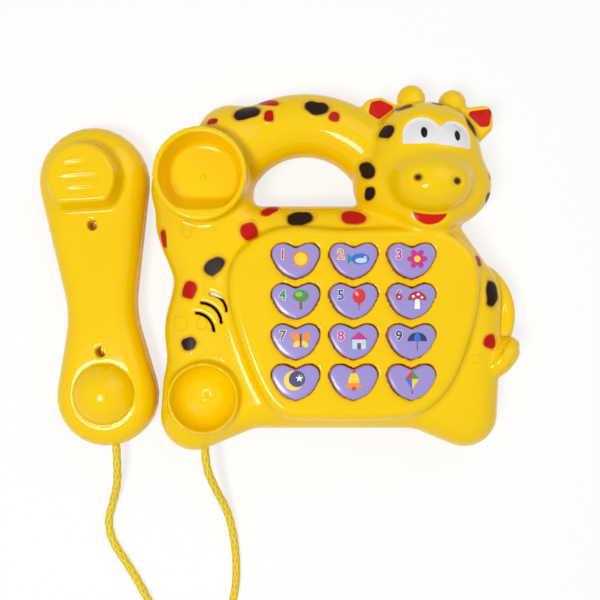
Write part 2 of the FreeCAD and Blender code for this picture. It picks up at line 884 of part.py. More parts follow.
def back_shell():
    rim_long = door_long + 2 * d.door_gap + 2 * d.battery_wall
    rim_wide = door_wide + 2 * d.door_gap + 2 * d.battery_wall
    case_long = battery_long + 2 * d.battery_wall
    case_wide = battery_wide + 2 * d.battery_wall
    case_high = battery_roof + d.battery_wall
    well_long = d.knob_stem_long + d.switch_travel + 2 * d.switch_well_margin
    well_wide = d.knob_stem_wide + 2 * d.switch_well_margin
    forms = [
        box("door_rim", rim_long, rim_wide, door_top + d.battery_wall, d.battery_x, d.battery_y, 0),
        box("battery_case", case_long, case_wide, case_high, d.battery_x, d.battery_y, 0),
        box(
            "switch_block",
            well_long + 2 * d.wall,
            well_wide + 2 * d.wall,
            d.switch_well_deep + d.wall,
            d.switch_x,
            d.switch_y,
            0,
        ),
    ]
    cuts = [
        box(
            "door_seat",
            door_long + 2 * d.door_gap,
            door_wide + 2 * d.door_gap,
            door_top + d.cut_over,
            d.battery_x,
            d.battery_y,
            -d.cut_over,
        ),
        box(
            "battery_space",
            battery_long,
            battery_wide,
            battery_roof + d.cut_over,
            d.battery_x,
            d.battery_y,
            -d.cut_over,
        ),
        box(
            "switch_well",
            well_long,
            well_wide,
            d.switch_well_deep + d.cut_over,
            d.switch_x,
            d.switch_y,
            -d.cut_over,
        ),
        box(
            "switch_slot",
            d.knob_stem_long + d.switch_travel + 2 * d.knob_play,
            d.knob_stem_wide + 2 * d.knob_play,
            d.switch_well_deep + d.wall + d.cut_over,
            d.switch_x,
            d.switch_y,
            0,
        ),
        base_exit,
    ]
    sink_deep = d.screw_seat + d.cut_over
    for side in (-1, 1):
        x = d.battery_x + side * door_screw_reach
        high = d.door_screw_length + d.screw_tip_room + d.wall
        forms.append(cylinder(f"door_boss_{side}", boss_radius, high, x, d.battery_y, door_top))
        pilot = d.door_screw_length + d.screw_tip_room
        cuts.append(cylinder(f"door_pilot_{side}", pilot_radius, pilot, x, d.battery_y, door_top))
    for index, (x, y) in enumerate(shell_screw_places):
        forms.append(cylinder(f"back_boss_{index}", boss_radius, d.part_height, x, y, 0))
        cuts.append(cylinder(f"back_sink_{index}", sink_radius, sink_deep, x, y, -d.cut_over))
        cuts.append(cylinder(f"back_pass_{index}", pass_radius, d.part_height, x, y, d.screw_seat))
    half = common("back_half", skin, back_side())
    inner = common("back_inner", fuse("back_inner_forms", *forms), form)
    return cut("back_shell", fuse("back_blank", half, inner), *cuts)


keep(front_shell(), "front_shell")
keep(back_shell(), "back_shell")


def shell_screws():
    return group("shell_screws", *[
        screw(
            f"shell_screw_{index}",
            d.screw_radius,
            d.screw_length,
            d.screw_head_radius,
            d.screw_head_thick,
            x,
            y,
            d.screw_seat,
        )
        for index, (x, y) in enumerate(shell_screw_places)
    ])


keep(shell_screws(), "shell_screws")


def circuit_board():
    blank = box("board_blank", board_long, board_wide, d.board_thick, 0, 0, board_under)
    radius = d.board_screw_radius + d.screw_play
    deep = d.board_thick + 2 * d.cut_over
    holes = [
        cylinder(f"board_hole_{index}", radius, deep, x, y, board_under - d.cut_over)
        for index, (x, y) in enumerate(board_screw_places)
    ]
    return cut("circuit_board", blank, *holes)


def chip_blob():
    """A flat drop of black resin over the sound chip, on the rear of the board."""
    item = egg("chip_blob", d.chip_radius, d.chip_radius, d.chip_thick, 0, d.chip_y, board_under)
    item.Angle2 = 0
    return item


def board_screws():
    return group("board_screws", *[
        screw(
            f"board_screw_{index}",
            d.board_screw_radius,
            d.board_screw_length,
            d.board_screw_head_radius,
            d.board_screw_head_thick,
            x,
            y,
            board_under,
        )
        for index, (x, y) in enumerate(board_screw_places)
    ])


def keypad_mat():
    """A rubber sheet on the board, with a hollow dome under each key."""
    mat = box("mat_sheet", board_long, board_wide, d.mat_thick, 0, 0, board_top)
    domes = [
        cone(
            f"mat_dome_{index}",
            d.dome_base_radius,
            d.plunger_radius,
            d.dome_height,
            x,
            y,
            board_top + d.mat_thick,
        )
        for index, (x, y) in enumerate(key_places)
    ]
    hollows = [
        cone(
            f"mat_dome_hollow_{index}",
            d.dome_base_radius - d.mat_thick,
            d.plunger_radius - d.mat_thick,
            d.dome_height,
            x,
            y,
            board_top,
        )
        for index, (x, y) in enumerate(key_places)
    ]
    holes = [
        cylinder(
            f"mat_hole_{index}",
            d.board_boss_radius + d.screw_play,
            d.mat_thick + 2 * d.cut_over,
            x,
            y,
            board_top - d.cut_over,
        )
        for index, (x, y) in enumerate(board_screw_places)
    ]
    return cut("keypad_mat", fuse("mat_blank", mat, *domes), *hollows, *holes)


keep(circuit_board(), "circuit_board")
keep(chip_blob(), "chip_blob")
keep(board_screws(), "board_screws")
keep(keypad_mat(), "keypad_mat")


def heart_key(name, x, y):
    """A heart cap over a lip that stays under the panel, with a plunger on the rubber dome."""
    body = doc.addObject("PartDesign::Body", name)
    pad(body, outline(body, name + "_lip", heart_corners, d.key_lip), d.key_lip_thick)
    cap_high = d.key_lip_thick + d.key_play + d.wall + d.key_rise
    pad(body, outline(body, name + "_cap", heart_corners), cap_high)
    round_edges(body, cap_high.value, d.key_edge_round)
    circle = body.newObject("Sketcher::SketchObject", name + "_plunger")
    plane = next(item for item in body.Origin.OriginFeatures if item.Role == "XY_Plane")
    circle.AttachmentSupport = [(plane, "")]
    circle.MapMode = "FlatFace"
    circle.addGeometry(Part.Circle(Vector(0, 0, 0), Vector(0, 0, 1), d.plunger_radius.value), False)
    circle.addConstraint(Sketcher.Constraint("Coincident", 0, 3, -1, 1))
    bend = circle.addConstraint(Sketcher.Constraint("Radius", 0, d.plunger_radius.value))
    circle.setExpression(f"Constraints[{bend}]", d.plunger_radius.text)
    pad(body, circle, d.plunger_length, down=True)
    return place(body, x, y, lip_under)


key_names = [f"key_{number}" for number in range(1, 10)] + ["key_mode", "key_music", "key_quiz"]
for key_name, (key_x, key_y) in zip(key_names, key_places):
    keep(heart_key(key_name, key_x, key_y), key_name)


def speaker_frame():
    """A pressed steel cup with a rim that lies against the inside of the chest."""
    rim = cylinder(
        "speaker_rim",
        d.speaker_radius,
        d.speaker_rim_thick,
        d.speaker_x,
        d.speaker_y,
        torso_under - d.speaker_rim_thick,
    )
    cup = cylinder(
        "speaker_cup",
        d.speaker_cup_radius,
        d.speaker_depth,
        d.speaker_x,
        d.speaker_y,
        speaker_base,
    )
    inside = cylinder(
        "speaker_inside",
        d.speaker_cup_radius - d.speaker_steel,
        d.speaker_depth,
        d.speaker_x,
        d.speaker_y,
        speaker_base + d.speaker_steel,
    )
    return cut("speaker_frame", fuse("speaker_blank", rim, cup), inside)


def speaker_cone():
    """A paper cone with a domed dust cap, which stands on the bottom of the cup."""
    mouth = d.speaker_cup_radius - d.speaker_steel - d.cone_edge_play
    deep = d.speaker_depth - d.speaker_steel - d.speaker_rim_thick
    base = speaker_base + d.speaker_steel
    outer = cone("cone_outer", d.cone_throat_radius, mouth, deep, d.speaker_x, d.speaker_y, base)
    inner = cone(
        "cone_inner",
        d.cone_throat_radius - d.cone_thick,
        mouth - d.cone_thick,
        deep,
        d.speaker_x,
        d.speaker_y,
        base + d.cone_thick,
    )
    cap = ball("dust_cap", d.cone_throat_radius, d.speaker_x, d.speaker_y, base + d.cone_thick)
    limit = cylinder(
        "dust_cap_limit",
        d.cone_throat_radius,
        deep,
        d.speaker_x,
        d.speaker_y,
        base + d.cone_thick / 2,
    )
    cap_top = common("dust_cap_top", cap, limit)
    return fuse("speaker_cone", cut("cone_paper", outer, inner), cap_top)


def speaker_magnet():
    return cylinder(
        "speaker_magnet",
        d.magnet_radius,
        d.magnet_thick,
        d.speaker_x,
        d.speaker_y,
        speaker_base - d.magnet_thick,
    )


def speaker_clamp():
    """A flat bar with a hole for the magnet, which presses the speaker against the chest."""
    long = 2 * (clamp_reach + d.clamp_boss_radius)
    low = speaker_base - d.clamp_thick
    plate = box("clamp_plate", d.clamp_wide, long, d.clamp_thick, d.speaker_x, d.speaker_y, low)
    high = d.clamp_thick + 2 * d.cut_over
    holes = [
        cylinder(
            "clamp_magnet_hole",
            d.magnet_radius + d.cone_edge_play,
            high,
            d.speaker_x,
            d.speaker_y,
            low - d.cut_over,
        )
    ]
    radius = d.board_screw_radius + d.screw_play
    for index, (x, y) in enumerate(clamp_screw_places):
        holes.append(cylinder(f"clamp_hole_{index}", radius, high, x, y, low - d.cut_over))
    return cut("speaker_clamp", plate, *holes)


def clamp_screws():
    return group("clamp_screws", *[
        screw(
            f"clamp_screw_{index}",
            d.board_screw_radius,
            d.clamp_screw_length,
            d.board_screw_head_radius,
            d.board_screw_head_thick,
            x,
            y,
            speaker_base - d.clamp_thick,
        )
        for index, (x, y) in enumerate(clamp_screw_places)
    ])


keep(speaker_frame(), "speaker_frame")
keep(speaker_cone(), "speaker_cone")
keep(speaker_magnet(), "speaker_magnet")
keep(speaker_clamp(), "speaker_clamp")
keep(clamp_screws(), "clamp_screws")

cell_offset = d.cell_radius + d.cell_play / 2


def battery(name, side):
    """A penlight cell along X, with its nub towards one end of the compartment."""
    y = d.battery_y + side * cell_offset
    half = battery_long / 2
    nub_face = d.battery_x + side * (half - d.contact_thick)
    start = nub_face - side * (d.cell_nub_length + d.cell_length / 2) - d.cell_length / 2
    nub_start = nub_face - d.cell_nub_length if side > 0 else nub_face
    can = bar(name + "_can", d.cell_radius, d.cell_length, start, y, cell_axis)
    nub = bar(name + "_nub", d.cell_nub_radius, d.cell_nub_length, nub_start, y, cell_axis)
    return fuse(name, can, nub)


def contact(name, end, y, wide):
    """A flat metal contact on one end wall of the compartment."""
    x = d.battery_x + end * (battery_long / 2 - d.contact_thick / 2)
    return box(name, d.contact_thick, wide, d.contact_wide, x, y, cell_axis - d.contact_wide / 2)


keep(battery("battery_1", 1), "battery_1")
keep(battery("battery_2", -1), "battery_2")
keep(contact("battery_link", 1, d.battery_y, 2 * cell_offset + d.contact_wide), "battery_link")
keep(
    group("battery_contacts", *[
        contact(f"battery_contact_{side}", -1, d.battery_y + side * cell_offset, d.contact_wide)
        for side in (-1, 1)
    ]),
    "battery_contacts",
)

door_screw_sink = d.screw_head_thick / 2


def battery_door():
    plate = box("door_plate", door_long, door_wide, d.door_thick, d.battery_x, d.battery_y, d.door_sink)
    holes = []
    for side in (-1, 1):
        x = d.battery_x + side * door_screw_reach
        y = d.battery_y
        holes.append(cylinder(f"door_sink_{side}", sink_radius, door_screw_sink, x, y, d.door_sink))
        holes.append(cylinder(f"door_pass_{side}", pass_radius, d.door_thick * 2, x, y, d.door_sink))
    return cut("battery_door", plate, *holes)


def door_screws():
    return group("door_screws", *[
        screw(
            f"door_screw_{side}",
            d.screw_radius,
            d.door_screw_length,
            d.screw_head_radius,
            door_screw_sink,
            d.battery_x + side * door_screw_reach,
            d.battery_y,
            d.door_sink + door_screw_sink,
        )
        for side in (-1, 1)
    ])


keep(battery_door(), "battery_door")
keep(door_screws(), "door_screws")

switch_floor = d.switch_well_deep + d.wall
knob_x = d.switch_x - d.switch_travel / 2


def switch_knob():
    plate_low = switch_floor + d.knob_play
    stem = box(
        "knob_stem",
        d.knob_stem_long,
        d.knob_stem_wide,
        plate_low - d.knob_sink,
        knob_x,
        d.switch_y,
        d.knob_sink,
    )
    plate = box(
        "knob_plate",
        d.knob_plate_long,
        d.knob_plate_wide,
        d.knob_plate_thick,
        knob_x,
        d.switch_y,
        plate_low,
    )
    return fuse("switch_knob", stem, plate)


def switch_case():
    """A small case over the slot, in which the plate of the knob slides."""
    space_long = d.knob_plate_long + d.switch_travel + 2 * d.knob_play
    space_wide = d.knob_plate_wide + 2 * d.knob_play
    space_high = d.knob_plate_thick + 2 * d.knob_play
    blank = box(
        "switch_case_blank",
        space_long + 2 * d.switch_case_wall,
        space_wide + 2 * d.switch_case_wall,
        space_high + d.switch_case_high,
        d.switch_x,
        d.switch_y,
        switch_floor,
    )
    space = box(
        "switch_case_space",
        space_long,
        space_wide,
        space_high,
        d.switch_x,
        d.switch_y,
        switch_floor,
    )
    return cut("switch_case", blank, space)


keep(switch_knob(), "switch_knob")
keep(switch_case(), "switch_case")

# Handset, built along Y about its own middle; its block and dome lie as far apart as the two cups
reach = d.upper_cup_y - d.lower_cup_y
block_y = reach / 2
dome_y = -reach / 2
mouth_end_y = dome_y - d.mouth_end_out
grip_x = d.grip_half_wide + d.grip_sweep
handset_corners = [
    convex(0, mouth_end_y, d.mouth_end_radius),
    concave(grip_x, d.grip_y, d.grip_sweep),
    convex(0, block_y + d.ear_end_out, d.ear_end_radius),
    concave(-grip_x, d.grip_y, d.grip_sweep),
]
block_corners = [
    convex(0, block_y, d.block_radius),
    convex(-d.block_corner_x, block_y - d.block_flat + d.block_corner, d.block_corner),
    convex(d.block_corner_x, block_y - d.block_flat + d.block_corner, d.block_corner),
]
handset_upper = d.handset_height - d.handset_part
dome_ball_radius = (
    d.voice_dome_radius * d.voice_dome_radius + d.voice_dome_rise * d.voice_dome_rise
) / (2 * d.voice_dome_rise)
dome_ball_z = d.handset_height + d.voice_dome_rise - dome_ball_radius
handset_seat = d.handset_part + d.handset_screw_web
handset_tube_radius = d.handset_screw_hole_radius + d.boss_wall
handset_screw_places = [(0, d.handset_screw_y), (0, -d.handset_screw_y)]
handset_exit = rod(
    "handset_cord_hole",
    cord_hole_radius,
    d.mouth_end_radius,
    d.handset_cord_x,
    mouth_end_y - d.mouth_end_radius - d.cut_over,
    d.handset_part,
)


def place_handset(item):
    item.Placement.Rotation = FreeCAD.Rotation(Vector(0, 0, 1), SIZES["handset_turn"])
    return place(item, d.handset_x, d.handset_y, 0, d.handset_turn)


def ear_block(name, grow, bottom, top):
    return slab(name, block_corners, grow, bottom, top - bottom, taper=d.block_taper)


def ear_groove(index, level, half):
    """One of the three shallow grooves across the earpiece."""
    run = half - d.groove_radius
    corners = [convex(-run, 0, d.groove_radius), convex(run, 0, d.groove_radius)]
    groove = slab(f"ear_groove_{index}", corners, 0, 0, d.groove_deep + d.cut_over)
    floor = d.handset_height + d.block_rise - d.groove_deep
    return place(groove, 0, block_y + level * d.groove_pitch, floor)


def handset_front():
    above = box(
        "handset_front_side",
        4 * d.ear_end_radius,
        4 * reach,
        2 * d.handset_height,
        0,
        0,
        d.handset_part,
    )
    body = slab(
        "handset_front_form",
        handset_corners,
        0,
        d.handset_part,
        handset_upper,
        d.handset_front_round,
    )
    space = slab(
        "handset_front_space",
        handset_corners,
        -d.wall,
        d.handset_part,
        handset_upper - d.wall,
        d.handset_front_round - d.wall,
    )
    block_top = d.handset_height + d.block_rise
    block = ear_block("ear_block", 0, d.handset_height - d.wall, block_top)
    block_space = ear_block("ear_block_space", -d.wall, d.handset_height - 2 * d.wall, block_top - d.wall)
    dome = common("voice_dome", ball("voice_dome_ball", dome_ball_radius, 0, dome_y, dome_ball_z), above)
    dome_space = common(
        "voice_dome_space",
        ball("voice_dome_inside", dome_ball_radius - d.wall, 0, dome_y, dome_ball_z),
        above,
    )
    shell = cut(
        "handset_front_skin",
        fuse("handset_front_outer", body, block, dome),
        fuse("handset_front_inner", space, block_space, dome_space),
    )
    tubes, holes = [], [handset_exit]
    high = handset_upper - d.wall / 2
    deep = d.handset_height
    for index, (x, y) in enumerate(handset_screw_places):
        tubes.append(cylinder(f"handset_tube_{index}", handset_tube_radius, high, x, y, d.handset_part))
        holes += [
            cylinder(f"handset_sink_{index}", d.handset_screw_hole_radius, deep, x, y, handset_seat),
            cylinder(f"handset_pass_{index}", pass_radius, deep, x, y, d.handset_part),
        ]
    grooves = [
        ear_groove(0, 0, d.groove_middle_half),
        ear_groove(1, 1, d.groove_side_half),
        ear_groove(2, -1, d.groove_side_half),
    ]
    return place_handset(cut("handset_front", fuse("handset_front_blank", shell, *tubes), *holes, *grooves))


def handset_back():
    body = slab(
        "handset_back_form",
        handset_corners,
        0,
        0,
        d.handset_part,
        bottom_round=d.handset_back_round,
    )
    space = slab(
        "handset_back_space",
        handset_corners,
        -d.wall,
        d.wall,
        d.handset_part,
        bottom_round=d.handset_back_round - d.wall,
    )
    posts, holes = [], [handset_exit]
    high = d.handset_part - d.wall / 2
    deep = d.handset_screw_length - d.handset_screw_web + d.screw_tip_room
    for index, (x, y) in enumerate(handset_screw_places):
        posts.append(cylinder(f"handset_post_{index}", handset_tube_radius, high, x, y, d.wall / 2))
        holes.append(cylinder(f"handset_pilot_{index}", pilot_radius, deep, x, y, d.handset_part - deep))
    shell = cut("handset_back_skin", body, space)
    return place_handset(cut("handset_back", fuse("handset_back_blank", shell, *posts), *holes))


def handset_screws():
    screws = [
        screw(
            f"handset_screw_{index}",
            d.screw_radius,
            d.handset_screw_length,
            d.handset_screw_hole_radius - d.screw_play,
            d.screw_head_thick,
            x,
            y,
            handset_seat,
            down=True,
        )
        for index, (x, y) in enumerate(handset_screw_places)
    ]
    return place_handset(group("handset_screws", *screws))


def knot(name, x, y, z):
    """The tied end of the cord, which is too thick to leave its hole."""
    blank = rod(name + "_blank", d.knot_radius, d.knot_length, x, y, z)
    item = doc.addObject("Part::Fillet", name)
    item.Base = blank
    doc.recompute()
    rims = [
        index
        for index, edge in enumerate(blank.Shape.Edges, start=1)
        if edge.BoundBox.YLength < SIZES["knot_length"] / 2
    ]
    item.Edges = [(index, SIZES["knot_round"], SIZES["knot_round"]) for index in rims]
    return item


handset_knot_y = mouth_end_y - d.mouth_end_radius + d.wall + d.handset_knot_up
keep(handset_front(), "handset_front")
keep(handset_back(), "handset_back")
keep(handset_screws(), "handset_screws")
keep(knot("base_cord_knot", d.base_cord_x, base_knot_y, d.part_height), "base_cord_knot")
keep(
    place_handset(knot("handset_cord_knot", d.handset_cord_x, handset_knot_y, d.handset_part)),
    "handset_cord_knot",
)


def cord_route():
    """The points of the cord, from the knot in the front foot to the knot in the handset."""
    turn = math.radians(SIZES["handset_turn"])
    along = Vector(-math.sin(turn), math.cos(turn), 0)
    across = Vector(math.cos(turn), math.sin(turn), 0)
    middle = Vector(SIZES["handset_x"], SIZES["handset_y"], SIZES["handset_part"])
    handset_end = middle + across * SIZES["handset_cord_x"] + along * handset_knot_y.value
    base_end = Vector(SIZES["base_cord_x"], base_knot_y.value, SIZES["part_height"])
    floor = SIZES["cord_radius"]
    return [
        base_end,
        base_end - Vector(0, SIZES["base_cord_lead"], 0),
        Vector(-70.5, -88.0, 13.0),
        Vector(-64.5, -101.5, 5.6),
        Vector(-61.3, -117.0, floor),
        Vector(-59.9, -132.0, floor),
        Vector(-60.8, -147.5, floor),
        Vector(-65.5, -162.5, floor),
        Vector(-77.5, -172.5, floor),
        Vector(-92.5, -171.0, floor),
        Vector(-103.0, -159.5, floor),
        Vector(-110.0, -145.5, floor),
        Vector(-118.3, -131.5, floor),
        Vector(-126.7, -119.5, floor),
        Vector(-129.3, -108.0, floor),
        Vector(-126.0, -97.5, 3.4),
        Vector(-122.6, -86.5, 8.0),
        handset_end - along * SIZES["handset_cord_lead"],
        handset_end,
    ]


def cord_path(points):
    """Straight runs joined by tangent arcs, each as large as its two runs allow."""
    edges, radii = [], []
    start = points[0]
    for before, corner, after in zip(points, points[1:], points[2:]):
        back = (before - corner).normalize()
        on = (after - corner).normalize()
        half_turn = (math.pi - back.getAngle(on)) / 2
        setback = SIZES["bend_share"] * min((before - corner).Length, (after - corner).Length)
        radius = setback / math.tan(half_turn)
        inward = (back + on).normalize()
        top = corner + inward * (radius / math.cos(half_turn) - radius)
        first = corner + back * setback
        last = corner + on * setback
        edges.append(Part.LineSegment(start, first).toShape())
        edges.append(Part.Arc(first, top, last).toShape())
        radii.append(radius)
        start = last
    edges.append(Part.LineSegment(start, points[-1]).toShape())
    return Part.Wire(edges), radii


def handset_cord():
    points = cord_route()
    path, radii = cord_path(points)
    section = Part.Wire(Part.makeCircle(SIZES["cord_radius"], points[0], points[1] - points[0]))
    item = doc.addObject("Part::Feature", "handset_cord")
    item.Shape = path.makePipeShell([section], True, True)
    expected = math.pi * SIZES["cord_radius"] ** 2 * path.Length
    print("cord length", round(path.Length, 1), "volume ratio", round(item.Shape.Volume / expected, 4))
    print("cord radii", [round(radius, 1) for radius in radii])
    return item


keep(handset_cord(), "handset_cord")


def wire(name, points, radius):
    path = cord_path(points)[0]
    section = Part.Wire(Part.makeCircle(radius, points[0], points[1] - points[0]))
    item = doc.addObject("Part::Feature", name)
    item.Shape = path.makePipeShell([section], True, True)
    return item


def battery_spring(name, side):
    """A coil of wire between the contact and the flat end of one cell."""
    thick = SIZES["spring_wire_radius"]
    radius = SIZES["spring_radius"]
    face = SIZES["battery_x"] - side * (battery_long.value / 2 - SIZES["contact_thick"])
    run = side * (SIZES["spring_length"] - 2 * thick)
    y = SIZES["battery_y"] + side * cell_offset.value
    steps = int(SIZES["spring_turns"] * SIZES["spring_steps"])
    points = []
    for step in range(steps + 1):
        turn = 2 * math.pi * step / SIZES["spring_steps"]
        x = face + side * thick + run * step / steps
        points.append(Vector(x, y + radius * math.cos(turn), cell_axis.value + radius * math.sin(turn)))
    return wire(name, points, thick)


keep(
    group("battery_springs", *[battery_spring(f"battery_spring_{side}", side) for side in (-1, 1)]),
    "battery_springs",
)


def wires_to_board(name, start_x, start_y, start_z, end_y):
    """Two wires side by side, from a flank that faces +X down and up again to the rear of the board."""
    end_x = SIZES["wire_inset"] - board_long.value / 2
    end_z = board_under.value - SIZES["wire_gap"]
    low = min(start_z, end_z) - SIZES["wire_sag"]
    wires = []
    for side in (-1, 1):
        offset = side * SIZES["wire_spread"] / 2
        run = end_x - start_x
        rise = end_y - start_y
        wires.append(wire(f"{name}_{side}", [
            Vector(start_x, start_y + offset, start_z),
            Vector(start_x + SIZES["wire_out_share"] * run, start_y + offset, start_z),
            Vector(start_x + SIZES["wire_low_share"] * run, start_y + rise / 2 + offset, low),
            Vector(end_x, end_y + offset, low),
            Vector(end_x, end_y + offset, end_z),
        ], SIZES["wire_radius"]))
    return group(name, *wires)


speaker_flank = SIZES["speaker_x"] + SIZES["speaker_cup_radius"] + SIZES["wire_gap"]
speaker_wire_z = speaker_base.value + SIZES["speaker_depth"] / 2
keep(
    wires_to_board("speaker_wires", speaker_flank, SIZES["speaker_y"], speaker_wire_z, SIZES["speaker_y"]),
    "speaker_wires",
)
doc.recompute()

failed = [item.Name for item in doc.Objects if {"Invalid", "Error"} & set(item.State)]
if failed:
    raise RuntimeError(f"objects that failed: {failed}")
for piece in pieces:
    if piece.Shape.isNull() or not piece.Shape.isValid() or not piece.Shape.Solids:
        raise RuntimeError(f"bad shape: {piece.Label}")

os.makedirs("parts", exist_ok=True)
for piece in pieces:
    piece.Shape.exportStep(f"parts/{piece.Label}.step")
    solids = len(piece.Shape.Solids)
    print(piece.Label, "solids", solids, "volume", round(piece.Shape.Volume, 1))
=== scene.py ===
# %% [markdown]
# A musical toy telephone in the shape of a giraffe lies on its back, with its handset beside it.
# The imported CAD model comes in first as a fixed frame. Every piece below is worked out in its place,
# in that same frame, so nothing has to be fitted afterwards.

# %% Load the frame
import math

import bpy
import numpy as np
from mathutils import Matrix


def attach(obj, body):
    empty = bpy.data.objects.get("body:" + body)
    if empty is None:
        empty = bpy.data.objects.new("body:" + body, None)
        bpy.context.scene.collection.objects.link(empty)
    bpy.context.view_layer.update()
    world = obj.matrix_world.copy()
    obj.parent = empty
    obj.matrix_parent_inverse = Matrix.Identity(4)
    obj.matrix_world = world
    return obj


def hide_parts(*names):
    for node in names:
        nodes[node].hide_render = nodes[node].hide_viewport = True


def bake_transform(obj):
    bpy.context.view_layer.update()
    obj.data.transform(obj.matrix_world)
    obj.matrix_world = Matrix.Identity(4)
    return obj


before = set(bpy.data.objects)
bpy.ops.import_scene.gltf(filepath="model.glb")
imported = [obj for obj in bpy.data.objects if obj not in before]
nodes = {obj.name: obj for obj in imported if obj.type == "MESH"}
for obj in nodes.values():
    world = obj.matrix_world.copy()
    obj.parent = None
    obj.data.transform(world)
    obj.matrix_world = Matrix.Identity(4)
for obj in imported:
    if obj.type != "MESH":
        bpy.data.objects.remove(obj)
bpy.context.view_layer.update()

MM = 0.001
scene = bpy.context.scene

# %% [markdown]
# The photograph was taken from straight above, with the middle of the picture a little to the left of
# the keypad. A camera that is not turned looks down and has +Y at the top, so it only needs its place
# and its angle of view. The angle follows from the width of floor that the picture takes in.

# %% Camera
CAMERA_PLACE = (-25.95, 10.6, 430.0)
FLOOR_SEEN = 324.0

camera = bpy.data.cameras.new("camera")
camera.sensor_fit = "HORIZONTAL"
camera.angle = 2 * math.atan(FLOOR_SEEN / 2 / CAMERA_PLACE[2])
camera_object = bpy.data.objects.new("camera", camera)
camera_object.location = [length * MM for length in CAMERA_PLACE]
scene.collection.objects.link(camera_object)
scene.camera = camera_object
print("angle of view", round(math.degrees(camera.angle), 1))

# %% [markdown]
# Three small helpers serve all pieces. The first puts arrays of points and faces into a mesh in one go.
# The second lists the faces of a grid of points, which is the net that a function of two parameters
# gives. The third reads the points back. The object stays at the origin, because the place of a piece is
# in its points.

# %% Helpers for meshes
def mesh_piece(name, points, faces, smooth=True):
    """An object from points in millimetres and an array of faces with the same number of corners each."""
    mesh = bpy.data.meshes.new(name)
    mesh.vertices.add(len(points))
    mesh.vertices.foreach_set("co", np.asarray(points * MM, dtype=np.float32).ravel())
    mesh.loops.add(faces.size)
    mesh.loops.foreach_set("vertex_index", np.asarray(faces, dtype=np.int32).ravel())
    mesh.polygons.add(len(faces))
    starts = np.arange(0, faces.size, faces.shape[1], dtype=np.int32)
    mesh.polygons.foreach_set("loop_start", starts)
    mesh.polygons.foreach_set("use_smooth", np.full(len(faces), smooth))
    mesh.update(calc_edges=True)
    mesh.validate()
    piece = bpy.data.objects.new(name, mesh)
    scene.collection.objects.link(piece)
    return piece


def ring_faces(rings, sides):
    """Quads between rings of points that each close on themselves; faces look away from the axis."""
    ring = np.arange(rings - 1)[:, None] * sides
    side = np.arange(sides)[None, :]
    beyond = (side + 1) % sides
    quads = np.stack([ring + side, ring + beyond, ring + sides + beyond, ring + sides + side], axis=-1)
    return quads.reshape(-1, 4)


def piece_points(piece):
    """The points of a piece in metres, one row each."""
    points = np.empty(len(piece.data.vertices) * 3)
    piece.data.vertices.foreach_get("co", points)
    return points.reshape(-1, 3)


print("faces between 3 rings of 4 points", len(ring_faces(3, 4)))

# %% [markdown]
# The cord is a soft braided string, tied off inside the front foot and inside the handset. Its line is a
# NURBS spline over a few listed points, so it curves like string. The photograph shows both ends
# and not the middle, which is laid as one short loop. The braid is in the tube itself: two families of
# threads wind round it in opposite ways, and whichever lies higher shows.

# %% Line of the cord
CORD_RADIUS = 2.1
CORD_ROUTE = [
    (-0.0750, -0.0608, 0.0200),
    (-0.0750, -0.0740, 0.0200),
    (-0.0705, -0.0880, 0.0130),
    (-0.0645, -0.1015, 0.0056),
    (-0.0613, -0.1170, 0.0021),
    (-0.0599, -0.1320, 0.0021),
    (-0.0608, -0.1475, 0.0021),
    (-0.0655, -0.1625, 0.0021),
    (-0.0775, -0.1725, 0.0021),
    (-0.0925, -0.1710, 0.0021),
    (-0.1030, -0.1595, 0.0021),
    (-0.1100, -0.1455, 0.0021),
    (-0.1183, -0.1315, 0.0021),
    (-0.1267, -0.1195, 0.0021),
    (-0.1293, -0.1080, 0.0021),
    (-0.1260, -0.0975, 0.0034),
    (-0.1226, -0.0865, 0.0080),
    (-0.1219, -0.0745, 0.0120),
    (-0.1226, -0.0625, 0.0120),
]
LINE_STEPS = 26


def drawn_shape(name, curve):
    """Points and faces that Blender draws for a curve or a text, which is then removed again."""
    drawing = bpy.data.objects.new(name, curve)
    scene.collection.objects.link(drawing)
    drawn = bpy.data.meshes.new_from_object(drawing.evaluated_get(bpy.context.evaluated_depsgraph_get()))
    points = np.empty(len(drawn.vertices) * 3)
    drawn.vertices.foreach_get("co", points)
    faces = [tuple(face.vertices) for face in drawn.polygons]
    bpy.data.objects.remove(drawing)
    bpy.data.curves.remove(curve)
    bpy.data.meshes.remove(drawn)
    return points.reshape(-1, 3), faces


def spline_points(name, route):
    """The points of a NURBS spline of order 3 whose control points are the route."""
    curve = bpy.data.curves.new(name, "CURVE")
    curve.dimensions = "3D"
    curve.resolution_u = LINE_STEPS
    spline = curve.splines.new("NURBS")
    spline.points.add(len(route) - 1)
    spline.points.foreach_set("co", [length for point in route for length in (*point, 1.0)])
    spline.order_u = 3
    spline.use_endpoint_u = True
    return drawn_shape(name, curve)[0]


cord_line = spline_points("cord_line", CORD_ROUTE)
print("points along the cord", len(cord_line))

# %% Braided tube of the cord
CORD_SIDES = 32
BRAID_THREADS = 6
BRAID_PITCH = 7.0
BRAID_RELIEF = 0.11
THREAD_MEAN = 0.4
CORD_TIP = 0.01


